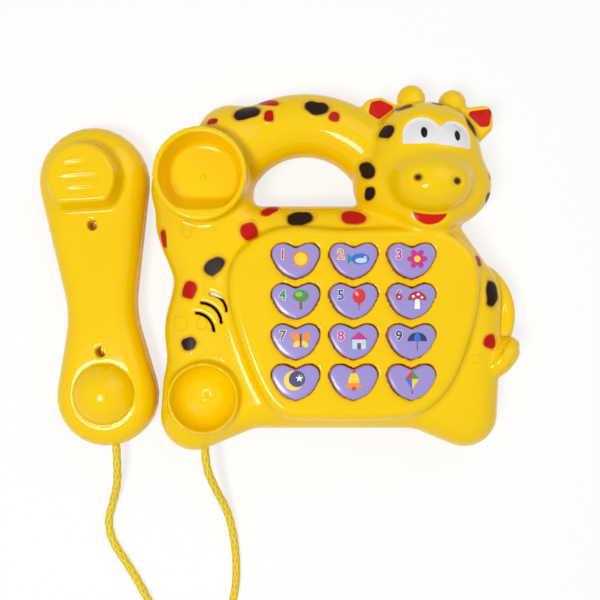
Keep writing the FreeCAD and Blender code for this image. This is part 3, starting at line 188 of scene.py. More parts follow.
def braided_tube(name, line, radius):
    """Radius plus relief times the higher of two sine waves, which wind round the line in opposite ways.
    The end rings shrink to the line, so the tube is closed."""
    along = np.gradient(line, axis=0)
    along /= np.linalg.norm(along, axis=1, keepdims=True)
    across = np.cross([0.0, 0.0, 1.0], along)
    across /= np.linalg.norm(across, axis=1, keepdims=True)
    above = np.cross(along, across)
    run = np.concatenate([[0.0], np.cumsum(np.linalg.norm(np.diff(line, axis=0), axis=1))])
    turn = np.linspace(0, 2 * np.pi, CORD_SIDES, endpoint=False)
    wave = 2 * np.pi * run[:, None] / BRAID_PITCH
    thread = np.maximum(np.sin(BRAID_THREADS * turn + wave), np.sin(BRAID_THREADS * turn - wave))
    reach = radius + BRAID_RELIEF * (thread - THREAD_MEAN)
    reach[[0, -1]] = CORD_TIP
    spread = np.cos(turn)[None, :, None] * across[:, None] + np.sin(turn)[None, :, None] * above[:, None]
    points = line[:, None] + reach[:, :, None] * spread
    tube = mesh_piece(name, points.reshape(-1, 3), ring_faces(len(line), CORD_SIDES))
    height = tube.data.attributes.new("thread", "FLOAT", "POINT")
    height.data.foreach_set("value", thread.astype(np.float32).ravel())
    return tube


cord = braided_tube("handset_cord_braid", cord_line / MM, CORD_RADIUS)
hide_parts("handset_cord")
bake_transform(cord)
print("cord faces", len(cord.data.polygons))

# %% [markdown]
# The giraffe is a blown-up, soft form: neck, head and body flow into each other. Such a form is hard to
# make as one grid, so it is written as a distance field, a function that tells for any point how far it
# is from the surface, below zero inside. Forms are joined by taking the smaller distance, and a smooth
# minimum gives the rounded joint that a mould has there. These helpers are the forms.

# %% Distances to simple forms
TINY = 1e-6


def smooth_min(a, b, blend):
    """The smaller of two distances, rounded off where they differ by less than the blend length."""
    share = np.clip(0.5 + 0.5 * (b - a) / blend, 0, 1)
    return b + (a - b) * share - blend * share * (1 - share)


def smooth_max(a, b, blend):
    """The larger of two distances, rounded off in the same way."""
    return -smooth_min(-a, -b, blend)


def egg(x, y, z, centre, radii):
    """Distance to an ellipsoid: scaled length minus one, divided by the slope of the scaled length."""
    sides = [(line - c) / r for line, c, r in zip((x, y, z), centre, radii)]
    length = np.sqrt(sum(side**2 for side in sides)) + TINY
    slope = np.sqrt(sum((side / r) ** 2 for side, r in zip(sides, radii))) + TINY
    return length * (length - 1) / slope


def ball(x, y, z, centre, radius):
    """Distance to a sphere: the distance to its centre less its radius."""
    cx, cy, cz = centre
    return np.sqrt((x - cx) ** 2 + (y - cy) ** 2 + (z - cz) ** 2) - radius


def axis_distance(x, y, centre):
    """Distance from an axis that stands on the plane of x and y."""
    return np.sqrt((x - centre[0]) ** 2 + (y - centre[1]) ** 2)


def post(x, y, z, centre, radius, low, high):
    """Distance to an upright cylinder between two levels."""
    side = axis_distance(x, y, centre) - radius
    return np.maximum(side, np.maximum(z - high, low - z))


def block(x, y, z, centre, size, low, high):
    """Distance to an upright box between two levels."""
    sides = np.maximum(np.abs(x - centre[0]) - size[0] / 2, np.abs(y - centre[1]) - size[1] / 2)
    return np.maximum(sides, np.maximum(z - high, low - z))


def slab(flat, z, low, high, low_round, high_round):
    """Distance to an outline carried upwards, with rounded edges at both levels: the corner between the
    flat distance and the level is replaced by a quarter circle."""
    def edge(level, radius):
        out = flat + radius
        over = level + radius
        corner = np.sqrt(np.maximum(out, 0) ** 2 + np.maximum(over, 0) ** 2)
        return corner + np.minimum(np.maximum(out, over), 0) - radius

    return np.maximum(edge(z - high, high_round), edge(low - z, low_round))


print("from the middle of a ball of 5 mm to its surface", ball(0.0, 0.0, 0.0, (0.0, 0.0, 0.0), 5.0))

# %% [markdown]
# The body, the keys and the handset have outlines of the same kind: arcs about a few centres, joined by
# straight tangents, like a belt round pulleys. A negative radius is a pulley on the outside of the belt,
# which makes a hollow corner. The keypad panel is freer, so its outline is a smooth line through places.
# The distance to such a line is the distance to its nearest run, and its sign comes from counting how
# often a ray crosses the line.

# %% Helpers for outlines
ARC_STEPS = 16
SPAN_STEPS = 5
NO_LENGTH = 1e-9


def belt(corners, grow=0.0):
    """Points of the closed outline, an arc of equal steps about each corner (x, y, radius)."""
    centres = np.array([(x, y) for x, y, radius in corners])
    radii = np.array([radius for x, y, radius in corners]) + grow
    ahead = np.roll(centres, -1, axis=0) - centres
    heading = np.arctan2(ahead[:, 1], ahead[:, 0])
    heading += np.arcsin((radii - np.roll(radii, -1)) / np.hypot(ahead[:, 0], ahead[:, 1]))
    leave = heading - np.pi / 2
    meet = np.roll(leave, 1)
    sweep = (leave - meet + np.pi) % (2 * np.pi) - np.pi
    sweep = np.where(radii > 0, (leave - meet) % (2 * np.pi), sweep)
    angles = meet[:, None] + sweep[:, None] * np.linspace(0, 1, ARC_STEPS)
    circle = np.stack([np.cos(angles), np.sin(angles)], axis=-1)
    return (centres[:, None] + radii[:, None, None] * circle).reshape(-1, 2)


def smooth_line(places):
    """A closed Catmull-Rom line: a cubic between each two places, with slopes from their neighbours."""
    here = np.array(places)
    before, after, beyond = np.roll(here, 1, axis=0), np.roll(here, -1, axis=0), np.roll(here, -2, axis=0)
    t = np.linspace(0, 1, SPAN_STEPS, endpoint=False)[None, :, None]
    before, here, after, beyond = (points[:, None] for points in (before, here, after, beyond))
    slope = after - before
    bend = 2 * before - 5 * here + 4 * after - beyond
    twist = 3 * (here - after) + beyond - before
    return (here + (slope * t + bend * t**2 + twist * t**3) / 2).reshape(-1, 2)


def flat_distance(x, y, outline):
    """Distance in the plane to the outline, negative inside, as an array that fits x and y."""
    px, py = (line.astype(np.float32) for line in np.broadcast_arrays(x, y))
    shape = px.shape
    px, py = px.reshape(-1, 1), py.reshape(-1, 1)
    start = outline.astype(np.float32)
    end = np.roll(start, -1, axis=0)
    run = end - start
    share = (px - start[:, 0]) * run[:, 0] + (py - start[:, 1]) * run[:, 1]
    share = np.clip(share / np.maximum((run**2).sum(axis=1), NO_LENGTH), 0, 1)
    gap = (px - start[:, 0] - share * run[:, 0]) ** 2 + (py - start[:, 1] - share * run[:, 1]) ** 2
    spans = (start[:, 1] > py) != (end[:, 1] > py)
    rise = np.where(run[:, 1] == 0, 1, run[:, 1])
    crossed = spans & (px < start[:, 0] + run[:, 0] * (py - start[:, 1]) / rise)
    inside = crossed.sum(axis=1) % 2 == 1
    nearest = np.sqrt(gap.min(axis=1))
    return np.where(inside, -nearest, nearest).reshape(shape)


round_square = belt([(-1.0, -1.0, 1.0), (1.0, -1.0, 1.0), (1.0, 1.0, 1.0), (-1.0, 1.0, 1.0)])
print("from the middle of a round square to its edge", flat_distance(0.0, 0.0, round_square))

# %% Outlines of the torso, the panel and a key
TORSO_CORNERS = [
    (-79.5, -48.6, 17.5),
    (-45.5, -72.8, -18.0),
    (28.1, -72.8, -18.0),
    (57.5, -47.1, 17.0),
    (53.9, 10.6, 23.0),
    (38.4, 38.9, 19.5),
    (-45.3, 63.6, -5.0),
    (-77.4, 67.2, 24.5),
    (-113.5, 18.3, -21.5),
]
PANEL_POINTS = [
    (-37.5, -44.4),
    (-28.0, -47.6),
    (-14.0, -48.1),
    (1.0, -48.2),
    (16.2, -47.9),
    (29.0, -46.0),
    (39.0, -41.0),
    (48.2, -30.5),
    (55.1, -15.2),
    (60.0, 1.5),
    (62.1, 15.5),
    (61.2, 28.0),
    (56.6, 36.8),
    (47.6, 43.2),
    (36.0, 45.6),
    (22.0, 45.8),
    (8.0, 45.4),
    (-6.0, 45.2),
    (-18.0, 46.0),
    (-30.0, 46.6),
    (-42.3, 44.0),
    (-52.6, 37.4),
    (-59.2, 28.4),
    (-61.0, 17.0),
    (-59.0, 2.9),
    (-53.6, -15.2),
    (-45.6, -34.0),
]
HEART_CORNERS = [
    (0.0, -6.9, 1.5),
    (-1.2, 3.9, 12.1),
    (6.45, 3.5, 5.1),
    (0.0, 7.75, -1.4),
    (-6.45, 3.5, 5.1),
    (1.2, 3.9, 12.1),
]
print("torso outline", len(belt(TORSO_CORNERS)), "points, panel", len(smooth_line(PANEL_POINTS)))

# %% [markdown]
# A distance field becomes a mesh by surface nets. Space is divided into cells. Each cell that the
# surface passes through gets one point, the mean of where the surface cuts the cell's edges, and each cut
# edge gets one face between the four cells round it. All of it is array work on the whole grid at once.

# %% Surface nets
def lines(low, high, step, dense=()):
    """Grid lines from low to high, with a finer step within the dense stretch."""
    if not dense:
        return np.arange(low, high + step, step)
    first, last, fine = dense
    return np.concatenate([
        np.arange(low, first, step),
        np.arange(first, last, fine),
        np.arange(last, high + step, step),
    ])


def surface_net(field, grid):
    """Points and quads of the surface where the field is zero, on a grid of three arrays of lines."""
    inside = field < 0
    cells = tuple(length - 1 for length in field.shape)
    total = np.prod(cells)
    sums = np.zeros((total, 3))
    counts = np.zeros(total)
    faces = []
    for axis in range(3):
        low = [slice(None)] * 3
        high = [slice(None)] * 3
        low[axis], high[axis] = slice(None, -1), slice(1, None)
        edge = np.nonzero(inside[tuple(low)] != inside[tuple(high)])
        step = np.eye(3, dtype=int)[axis]
        beyond = tuple(index + move for index, move in zip(edge, step))
        here, there = field[edge], field[beyond]
        place = np.stack([line[index] for line, index in zip(grid, edge)], axis=1).astype(float)
        place[:, axis] += here / (here - there) * (grid[axis][beyond[axis]] - grid[axis][edge[axis]])
        second, third = (axis + 1) % 3, (axis + 2) % 3
        around = []
        for back in ((1, 1), (0, 1), (0, 0), (1, 0)):
            cell = list(edge)
            cell[second] = cell[second] - back[0]
            cell[third] = cell[third] - back[1]
            around.append(np.ravel_multi_index(cell, cells, mode="clip"))
        for cell in around:
            counts += np.bincount(cell, minlength=total)
            for side in range(3):
                sums[:, side] += np.bincount(cell, weights=place[:, side], minlength=total)
        quads = np.stack(around, axis=1)
        faces.append(np.where(inside[edge][:, None], quads, quads[:, ::-1]))
    used = np.nonzero(counts)[0]
    number = np.zeros(total, dtype=np.int32)
    number[used] = np.arange(len(used))
    return sums[used] / counts[used, None], number[np.concatenate(faces)]


print("grid lines over 10 mm", len(lines(0.0, 10.0, 1.0)))

# %% [markdown]
# The face is painted in shallow recesses of the mould: two eyes, two nostrils, the mouth and the linings
# of the ears. Each mark is an oval or an outline in the plane. Its distance serves twice, first to press
# the recess and later to paint it, so paint and relief cannot drift apart.

# %% Marks of the face
FACE_OVALS = {
    "left_eye": (32.5, 89.5, 9.1, 9.3),
    "left_eyelid": (36.0, 98.0, 60.0, 12.7),
    "right_eye": (48.2, 88.2, 8.5, 8.9),
    "right_eyelid": (66.0, 96.4, 60.0, 12.9),
    "left_pupil": (33.3, 90.7, 1.6, 2.85),
    "right_pupil": (49.6, 89.6, 1.5, 2.75),
    "left_nostril": (29.4, 67.9, 2.7, 2.5),
    "right_nostril": (47.6, 66.4, 2.5, 2.3),
    "mouth": (36.8, 56.0, 9.2, 9.0),
    "upper_lip": (38.5, 66.0, 22.0, 14.2),
}
LEFT_LINING = [
    (10.2, 105.4, 1.6),
    (13.6, 103.0, 1.5),
    (19.6, 107.6, 1.5),
    (14.6, 109.6, 1.8),
    (11.2, 109.0, 1.8),
]
RIGHT_LINING = [(60.6, 104.2, 1.6), (65.6, 99.2, 1.6), (68.0, 99.6, 1.8), (69.2, 105.4, 1.6)]
SIDES = ("left", "right")


def oval_distance(x, y, name):
    """Roughly the distance to an oval of the face: scaled length minus one, times the smaller radius."""
    cx, cy, rx, ry = FACE_OVALS[name]
    return (np.sqrt(((x - cx) / rx) ** 2 + ((y - cy) / ry) ** 2) - 1) * min(rx, ry)


def nearer_oval(x, y, mark):
    """Distance to the left or the right oval of a mark, whichever is nearer."""
    return np.minimum(*(oval_distance(x, y, f"{side}_{mark}") for side in SIDES))


def eye_distance(x, y, side):
    """An arch with straight sides below its middle, cut off along the lower lid."""
    middle = FACE_OVALS[side + "_eye"][1]
    arch = oval_distance(x, np.maximum(y, middle), side + "_eye")
    return np.maximum(arch, oval_distance(x, y, side + "_eyelid"))


def face_distances(x, y):
    """Distances in the plane to what is painted on the head with a crisp edge. The lip is the part of the
    mouth's oval that lies outside the upper lip's."""
    linings = [flat_distance(x, y, belt(corners)) for corners in (LEFT_LINING, RIGHT_LINING)]
    return {
        "eye": np.minimum(*(eye_distance(x, y, side) for side in SIDES)),
        "lip": np.maximum(oval_distance(x, y, "mouth"), -oval_distance(x, y, "upper_lip")),
        "lining": np.minimum(*linings),
    }


print("ovals of the face", len(FACE_OVALS))

# %% [markdown]
# The head is one smooth moulding. Cheeks and skull are two ellipsoids that run together. Muzzle, jaw,
# horns and ears grow out of them, each with the rounding that its joint has on the toy. One blend length
# for all would either drown the horns or leave a sharp crease under the muzzle.

# %% Head
PARTING = 20.0
CHEEKS = ((35.8, 68.4, 26.0), (35.0, 24.0, 22.5))
SKULL = ((36.8, 86.0, 28.0), (27.6, 24.0, 22.5))
SKULL_BLEND = 7.0
JAW = ((37.6, 54.2, 36.8), (15.5, 11.5, 11.5))
JAW_BLEND = 5.0
MUZZLE = ((37.4, 66.9, 44.0), (19.8, 14.6, 16.5))
MUZZLE_CREASE = ((58.0, 72.0), (1.3, 6.0))
HORNS = [((30.6, 112.7, 24.0), 7.3), ((51.5, 110.4, 24.0), 7.1)]
HORN_BLEND = 2.0
LEFT_EAR = [(10.6, 107.6, 4.8), (14.6, 99.5, 4.0), (21.4, 105.6, 4.0), (14.2, 109.0, 4.2)]
RIGHT_EAR = [(67.0, 104.2, 4.8), (57.5, 103.8, 4.0), (61.8, 93.0, 4.2), (67.4, 98.6, 4.2)]
EAR_LEVELS = (14.5, 29.5)
EAR_ROUND = (3.5, 3.0)
EAR_BLEND = 1.6


def bare_head(x, y, z):
    """Ellipsoids, balls and slabs, joined one after another. The muzzle's blend grows with y, from a
    crease at the mouth to a soft rise between the eyes."""
    head = smooth_min(egg(x, y, z, *CHEEKS), egg(x, y, z, *SKULL), SKULL_BLEND)
    head = smooth_min(head, egg(x, y, z, *JAW), JAW_BLEND)
    head = smooth_min(head, egg(x, y, z, *MUZZLE), np.interp(y, *MUZZLE_CREASE))
    for horn in HORNS:
        head = smooth_min(head, ball(x, y, z, *horn), HORN_BLEND)
    for corners in (LEFT_EAR, RIGHT_EAR):
        ear = slab(flat_distance(x, y, belt(corners)), z, *EAR_LEVELS, *EAR_ROUND)
        head = smooth_min(head, ear, EAR_BLEND)
    return head


muzzle_top = MUZZLE[0][2] + MUZZLE[1][2]
print("horns", len(HORNS), "top of the muzzle", muzzle_top)

# %% Marks pressed into the head
FACE_LEVEL = 30.0
EYE_DEPTH = 1.8
EYE_SLOPE = 1.4
EYE_FOOT = 84.0
EYE_RISE = 12.0
LEAST_BROW = 0.15
EYE_BULGE = 1.7
NOSTRIL_DEPTH = 1.2
NOSTRIL_SLOPE = 2.0
LIP_DEPTH = 0.9
LIP_SLOPE = 1.2
SMILE_DEPTH = 0.6
SMILE_WIDE = 1.8
SMILE_TOP = 67.0
SMILE_FADE = 5.0
LINING_DEPTH = 1.0
LINING_SLOPE = 1.6


def pressed(distance, depth, slope):
    """The depth inside a mark and zero outside, with a slope of the given width at its edge."""
    return depth * np.clip(0.5 - distance / slope, 0, 1)


def head_form(x, y, z):
    """The head with its marks pressed in. The eyes lie deepest under the brow, less the bulge of the
    eyeball. The smile is a groove along the upper lip that fades out towards the cheeks."""
    marks = face_distances(x, y)
    brow = EYE_DEPTH * np.clip((y - EYE_FOOT) / EYE_RISE, LEAST_BROW, 1)
    bulge = EYE_BULGE * np.clip(-nearer_oval(x, y, "eye") / FACE_OVALS["left_eye"][2], 0, 1)
    depth = pressed(marks["eye"], brow - bulge, EYE_SLOPE)
    depth = depth + pressed(nearer_oval(x, y, "nostril"), NOSTRIL_DEPTH, NOSTRIL_SLOPE)
    groove = np.abs(oval_distance(x, y, "upper_lip")) - SMILE_WIDE / 2
    fade = np.clip((SMILE_TOP - y) / SMILE_FADE, 0, 1)
    smile = pressed(groove, SMILE_DEPTH * fade, SMILE_WIDE)
    depth = depth + np.maximum(pressed(marks["lip"], LIP_DEPTH, LIP_SLOPE), smile)
    lining = pressed(marks["lining"], LINING_DEPTH, LINING_SLOPE)
    return bare_head(x, y, z) + np.where(z > FACE_LEVEL, depth, 0) + np.where(z > PARTING, lining, 0)


print("head at the top of the muzzle", round(float(head_form(*MUZZLE[0][:2], muzzle_top)), 2))

# %% [markdown]
# The tail lies round the rump as a thin bow with a tuft at its end. On the other side the edge of the
# chest swells and draws in a little, as a cosine wave does.

# %% Tail and chest
TAIL_CENTRE = (53.9, 2.9)
TAIL_RING = 26.8
TAIL_RADIUS = 4.0
TAIL_SPAN = (math.radians(-45), math.radians(55))
TAIL_BLEND = 1.5
TUFT_PLACE = (75.6, -18.4, 27.0)
TUFT_LEAN = math.radians(51.0)
TUFT_RADII = (12.2, 7.0, 10.5)
RIB_DEPTH = 0.35
RIB_TURN = 1.7
FLANK_WAVE = 1.4
FLANK_CREST = 44.0
FLANK_PITCH = 46.0
FLANK_X = (-78.0, -90.0)
FLANK_Y = (-30.0, -18.0, 50.0, 60.0)


def tail_form(x, y, z):
    """A round bow along the rump, and a tuft with shallow ribs across its end. The bow is a ball about
    the nearest point of an arc."""
    turn = np.clip(np.arctan2(y - TAIL_CENTRE[1], x - TAIL_CENTRE[0]), *TAIL_SPAN)
    near_x = TAIL_CENTRE[0] + TAIL_RING * np.cos(turn)
    near_y = TAIL_CENTRE[1] + TAIL_RING * np.sin(turn)
    bow = ball(x, y, z, (near_x, near_y, PARTING), TAIL_RADIUS)
    away_x, away_y = x - TUFT_PLACE[0], y - TUFT_PLACE[1]
    along = away_x * math.cos(TUFT_LEAN) + away_y * math.sin(TUFT_LEAN)
    aside = away_y * math.cos(TUFT_LEAN) - away_x * math.sin(TUFT_LEAN)
    tuft = egg(along, aside, z - TUFT_PLACE[2], (0, 0, 0), TUFT_RADII)
    return smooth_min(bow, tuft + RIB_DEPTH * np.cos(RIB_TURN * aside), TAIL_BLEND)


def flank_wave(x, y):
    """A cosine along the chest's edge, which fades out towards the cups and the middle."""
    wave = FLANK_WAVE * np.cos(2 * math.pi * (y - FLANK_CREST) / FLANK_PITCH)
    across = np.clip((x - FLANK_X[0]) / (FLANK_X[1] - FLANK_X[0]), 0, 1)
    return wave * across * np.interp(y, FLANK_Y, (0, 1, 1, 0))


print("outer edge of the tail", round(TAIL_CENTRE[0] + TAIL_RING + TAIL_RADIUS, 1))

# %% [markdown]
# The closed giraffe follows the sizes of the CAD model. The torso is a thick slab with round edges, and
# the neck a ring that serves as the carrying handle. The keypad panel and the two cups for the handset
# stand up from the torso.

# %% Closed form of the giraffe
TORSO_TOP = 37.0
TORSO_ROUND = (6.0, 15.0)
NECK_CENTRE = (-23.4, 54.4)
NECK_RING = 45.8
NECK_RADIUS = 16.0
NECK_BLEND = 5.0
SHOULDER = ((-61.0, 92.0, PARTING), 18.5)
PANEL_TOP = 43.0
PANEL_ROUND = (0.1, 4.0)
PANEL_BLEND = 4.0
HEAD_BLEND = 2.5
UPPER_CUP = (-74.2, 71.6)
UPPER_CUP_TOP = 48.0
UPPER_CUP_RADIUS = 22.7
LOWER_CUP = (-73.2, -37.5)
LOWER_CUP_TOP = 43.0
LOWER_CUP_FOOT = 34.0
LOWER_CUP_RADIUS = 17.3
LOWER_CUP_DRAFT = 0.17
CUP_BLEND = 2.0


def base_form(x, y, z):
    """The closed giraffe: the forms run together with the rounding that each joint shows."""
    edge = flat_distance(x, y, belt(TORSO_CORNERS)) - flank_wave(x, y)
    form = slab(edge, z, 0.0, TORSO_TOP, *TORSO_ROUND)
    around = axis_distance(x, y, NECK_CENTRE) - NECK_RING
    panel = flat_distance(x, y, smooth_line(PANEL_POINTS))
    cup_side = axis_distance(x, y, LOWER_CUP) - LOWER_CUP_RADIUS - LOWER_CUP_DRAFT * (LOWER_CUP_TOP - z)
    for grown, blend in (
        (np.sqrt(around**2 + (z - PARTING) ** 2) - NECK_RADIUS, NECK_BLEND),
        (ball(x, y, z, *SHOULDER), NECK_BLEND),
        (slab(panel, z, PARTING, PANEL_TOP, *PANEL_ROUND), PANEL_BLEND),
        (head_form(x, y, z), HEAD_BLEND),
        (tail_form(x, y, z), TAIL_BLEND),
        (post(x, y, z, UPPER_CUP, UPPER_CUP_RADIUS, PARTING, UPPER_CUP_TOP), CUP_BLEND),
        (np.maximum(np.maximum(cup_side, z - LOWER_CUP_TOP), LOWER_CUP_FOOT - z), CUP_BLEND),
    ):
        form = smooth_min(form, grown, blend)
    return form


print("form at the middle of the panel", round(float(base_form(0.0, 0.0, PANEL_TOP)), 2))

# %% [markdown]
# What is cut from the form is a field of its own. The round well takes the earpiece, and the bowl takes
# the mouthpiece. The loudspeaker sounds through three slots in the chest, each key has a heart-shaped
# hole, and the cord comes out below the lower cup.

# %% Cups for the handset
WELL_FLOOR = 32.0
WELL_RADIUS = 17.2
WELL_DRAFT = 0.175
WELL_FLAT = 10.4
WELL_LEAN = math.radians(24)
WELL_ROUND = 3.0
WELL_NUB = 1.6
BOWL_CENTRE = 45.14
BOWL_RADIUS = 16.14
BOWL_NUB = 1.4


def cup_field(x, y, z):
    """The round well with one leaning flat side, and the bowl for the mouthpiece; each has a small nub."""
    over = z - WELL_FLOOR
    cone = axis_distance(x, y, UPPER_CUP) - WELL_RADIUS - WELL_DRAFT * over
    flat_side = (UPPER_CUP[1] - WELL_FLAT - y) * math.cos(WELL_LEAN) - over * math.sin(WELL_LEAN)
    well = smooth_max(smooth_max(cone, flat_side, WELL_ROUND), -over, WELL_ROUND)
    well = np.maximum(well, -ball(x, y, z, (*UPPER_CUP, WELL_FLOOR), WELL_NUB))
    bowl = ball(x, y, z, (*LOWER_CUP, BOWL_CENTRE), BOWL_RADIUS)
    bowl = np.maximum(bowl, -ball(x, y, z, (*LOWER_CUP, BOWL_CENTRE - BOWL_RADIUS), BOWL_NUB))
    return np.minimum(well, bowl)


print("floors of the cups", WELL_FLOOR, round(BOWL_CENTRE - BOWL_RADIUS, 2))

# %% Slots, key holes and cord hole
SOUND_SLOTS = [(-70.9, 4.7, 8.7), (-75.3, -1.2, 10.4), (-78.0, -5.2, 9.4)]
SOUND_SLOT_WIDE = 1.25
CHEST_INSIDE = 30.0
KEY_COLUMNS = (-28.05, 0.0, 28.05)
KEY_ROWS = (29.4, 9.8, -9.8, -29.4)
KEY_GAP = 0.35
PANEL_INSIDE = 36.0
CORD_HOLE = (-75.0, 20.0, 2.45, -48.0)


def slot_field(x, y, z):
    """Quarter rings through the chest."""
    slots = np.inf
    for cx, cy, radius in SOUND_SLOTS:
        ring = np.abs(axis_distance(x, y, (cx, cy)) - radius) - SOUND_SLOT_WIDE / 2
        quarter = np.maximum(cx - x, cy - y)
        slots = np.minimum(slots, np.maximum(ring, quarter))
    return np.maximum(slots, CHEST_INSIDE - z)


def key_hole_field(x, y, z):
    """The hearts, repeated by folding the plane onto one key of the keypad."""
    column = np.clip(np.round(x / KEY_COLUMNS[2]), -1, 1) * KEY_COLUMNS[2]
    pitch = KEY_ROWS[0] - KEY_ROWS[1]
    last = len(KEY_ROWS) - 1
    row = (np.clip(np.round(y / pitch + last / 2), 0, last) - last / 2) * pitch
    heart = flat_distance(x - column, y - row, belt(HEART_CORNERS))
    return np.maximum(heart - KEY_GAP, PANEL_INSIDE - z)


def cord_hole_field(x, y, z, hole):
    """A round hole along Y, from outside up to its inner end. The hole lists the x and z of its axis, its
    radius and the y of that end."""
    axis_x, axis_z, radius, inner_end = hole
    return np.maximum(axis_distance(x, z, (axis_x, axis_z)) - radius, y - inner_end)


print("slots", len(SOUND_SLOTS), "key holes", len(KEY_COLUMNS) * len(KEY_ROWS))

# %% [markdown]
# The two shells are one wall, cut at the parting plane with a hair line between them. The wall is the
# form less a smaller copy of itself, and it keeps its thickness under the cups. The back also has the
# door seat with the battery space behind it, six deep screw wells and the well of the slide switch. They
# are boxes and posts at the CAD's places, added inside the wall and then cut.

# %% Wall of the shells
WALL = 2.2
SEAM = 0.12
BELOW = -5.0
ABOVE = 90.0
SCREW_PLACES = [(-79.5, -48.6), (57.5, -47.1), (53.9, 10.6), (-23.4, 100.2), (36.8, 86.0), (-77.4, 67.2)]
BOSS_RADIUS = 4.4


def wall_field(x, y, z):
    """The form, and the form less its hollow and its cups. The bosses that hold the screws stand inside
    the wall."""
    form = base_form(x, y, z)
    cups = cup_field(x, y, z)
    hollow = np.maximum(form + WALL, WALL - cups)
    for place in SCREW_PLACES:
        hollow = np.maximum(hollow, -post(x, y, z, place, BOSS_RADIUS, BELOW, ABOVE))
    return form, np.maximum(np.maximum(form, -cups), -hollow)


print("bosses", len(SCREW_PLACES), "wall", WALL)

# %% Back and front
SCREW_WELL = 3.0
SCREW_SEAT = 10.0
DOOR_CENTRE = (0.0, -27.5)
SWITCH_PLACE = (-30.0, 26.0)
SWITCH_SLOT = (7.0, 3.4)
SWITCH_SLOT_TOP = 10.0
THIN_WALL = 1.6
RECESSES = {
    "battery space": (DOOR_CENTRE, (56.0, 29.3), 16.9, THIN_WALL),
    "door seat": (DOOR_CENTRE, (76.6, 33.9), 2.1, THIN_WALL),
    "switch well": (SWITCH_PLACE, (14.6, 11.0), 1.8, WALL),
}


def back_field(x, y, z):
    """The wall below the parting plane. Each recess is a box that is cut from a thicker box."""
    form, wall = wall_field(x, y, z)
    cut = np.minimum(
        cord_hole_field(x, y, z, CORD_HOLE),
        block(x, y, z, SWITCH_PLACE, SWITCH_SLOT, BELOW, SWITCH_SLOT_TOP),
    )
    for centre, size, top, thickness in RECESSES.values():
        outside = [length + 2 * thickness for length in size]
        added = block(x, y, z, centre, outside, 0.0, top + thickness)
        wall = np.minimum(wall, np.maximum(added, form))
        cut = np.minimum(cut, block(x, y, z, centre, size, BELOW, top))
    for place in SCREW_PLACES:
        cut = np.minimum(cut, post(x, y, z, place, SCREW_WELL, BELOW, SCREW_SEAT))
    return np.maximum(np.maximum(wall, -cut), z - PARTING + SEAM)


def front_field(x, y, z):
    """The wall above the parting plane, less the slots, the key holes and half of the cord hole."""
    wall = wall_field(x, y, z)[1]
    cut = np.minimum(slot_field(x, y, z), key_hole_field(x, y, z))
    cut = np.minimum(cut, cord_hole_field(x, y, z, CORD_HOLE))
    return np.maximum(np.maximum(wall, -cut), PARTING + SEAM - z)


print("recesses of the back", list(RECESSES))

# %% Meshes of the two shells
CELL = 1.16
SHELL_X = (-105.0, 88.0)
SHELL_Y = (-69.0, 121.0)
FRONT_Z = (18.6, 62.0)
BACK_Z = (-1.5, 22.0)
CHEST_X = (-78.6, -61.4, 0.55)
CHEST_Y = (-5.6, 14.0, 0.55)


def net_piece(name, field, grid):
    """The mesh of a field on a grid of lines along X, Y and Z."""
    x, y, z = np.meshgrid(*grid, indexing="ij", sparse=True)
    points, quads = surface_net(field(x, y, z).astype(np.float32), grid)
    print(name, "faces", len(quads))
    return mesh_piece(name, points, quads)


front_grid = (lines(*SHELL_X, CELL, CHEST_X), lines(*SHELL_Y, CELL, CHEST_Y), lines(*FRONT_Z, CELL))
front = net_piece("front_shell_moulding", front_field, front_grid)
back_grid = [lines(*span, CELL) for span in (SHELL_X, SHELL_Y, BACK_Z)]
back = net_piece("back_shell_moulding", back_field, back_grid)
for shell, node in ((front, "front_shell"), (back, "back_shell")):
    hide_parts(node)
    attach(shell, "base")

# %% [markdown]
# The handset is two halves, screwed together through deep holes in the grip. Its earpiece is a block with
# a flat side and three shallow grooves, and its mouthpiece a smooth dome with a ring round it. They run
# into the grip, so the handset is a field too. It is made in its own frame, along Y, where its outline is
# easy to write, and then turned a little and moved beside the base.

# %% Form of the handset
HANDSET_PARTING = 12.0
HANDSET_TOP = 24.0
HANDSET_CORNERS = [(0.0, -55.95, 26.2), (73.0, -11.0, -55.0), (0.0, 55.95, 28.3), (-73.0, -11.0, -55.0)]
GRIP_ROUND = (9.0, 11.0)
EARPIECE_CORNERS = [(-1.6, 55.7, 16.6), (-11.8, 46.4, 3.0), (8.6, 46.4, 3.0)]
EARPIECE_TOP = 35.0
EARPIECE_DRAFT = math.tan(math.radians(15))
EARPIECE_ROUND = (0.1, 1.4)
EARPIECE_BLEND = 2.0
GROOVES = [(-2.0, 55.4, 12.2), (-3.4, 62.3, 8.2), (-1.5, 49.3, 8.5)]
GROOVE_RADII = (2.0, 1.2)
GROOVE_RISE = 0.6
GROOVE_EDGE = 0.3
VOICE_CENTRE = (0.5, -53.9)
VOICE_LEVEL = 16.36
VOICE_RADIUS = 17.64
VOICE_BLEND = 1.0
VOICE_RING = 15.9
RING_RADIUS = 0.45
RING_EDGE = 0.8


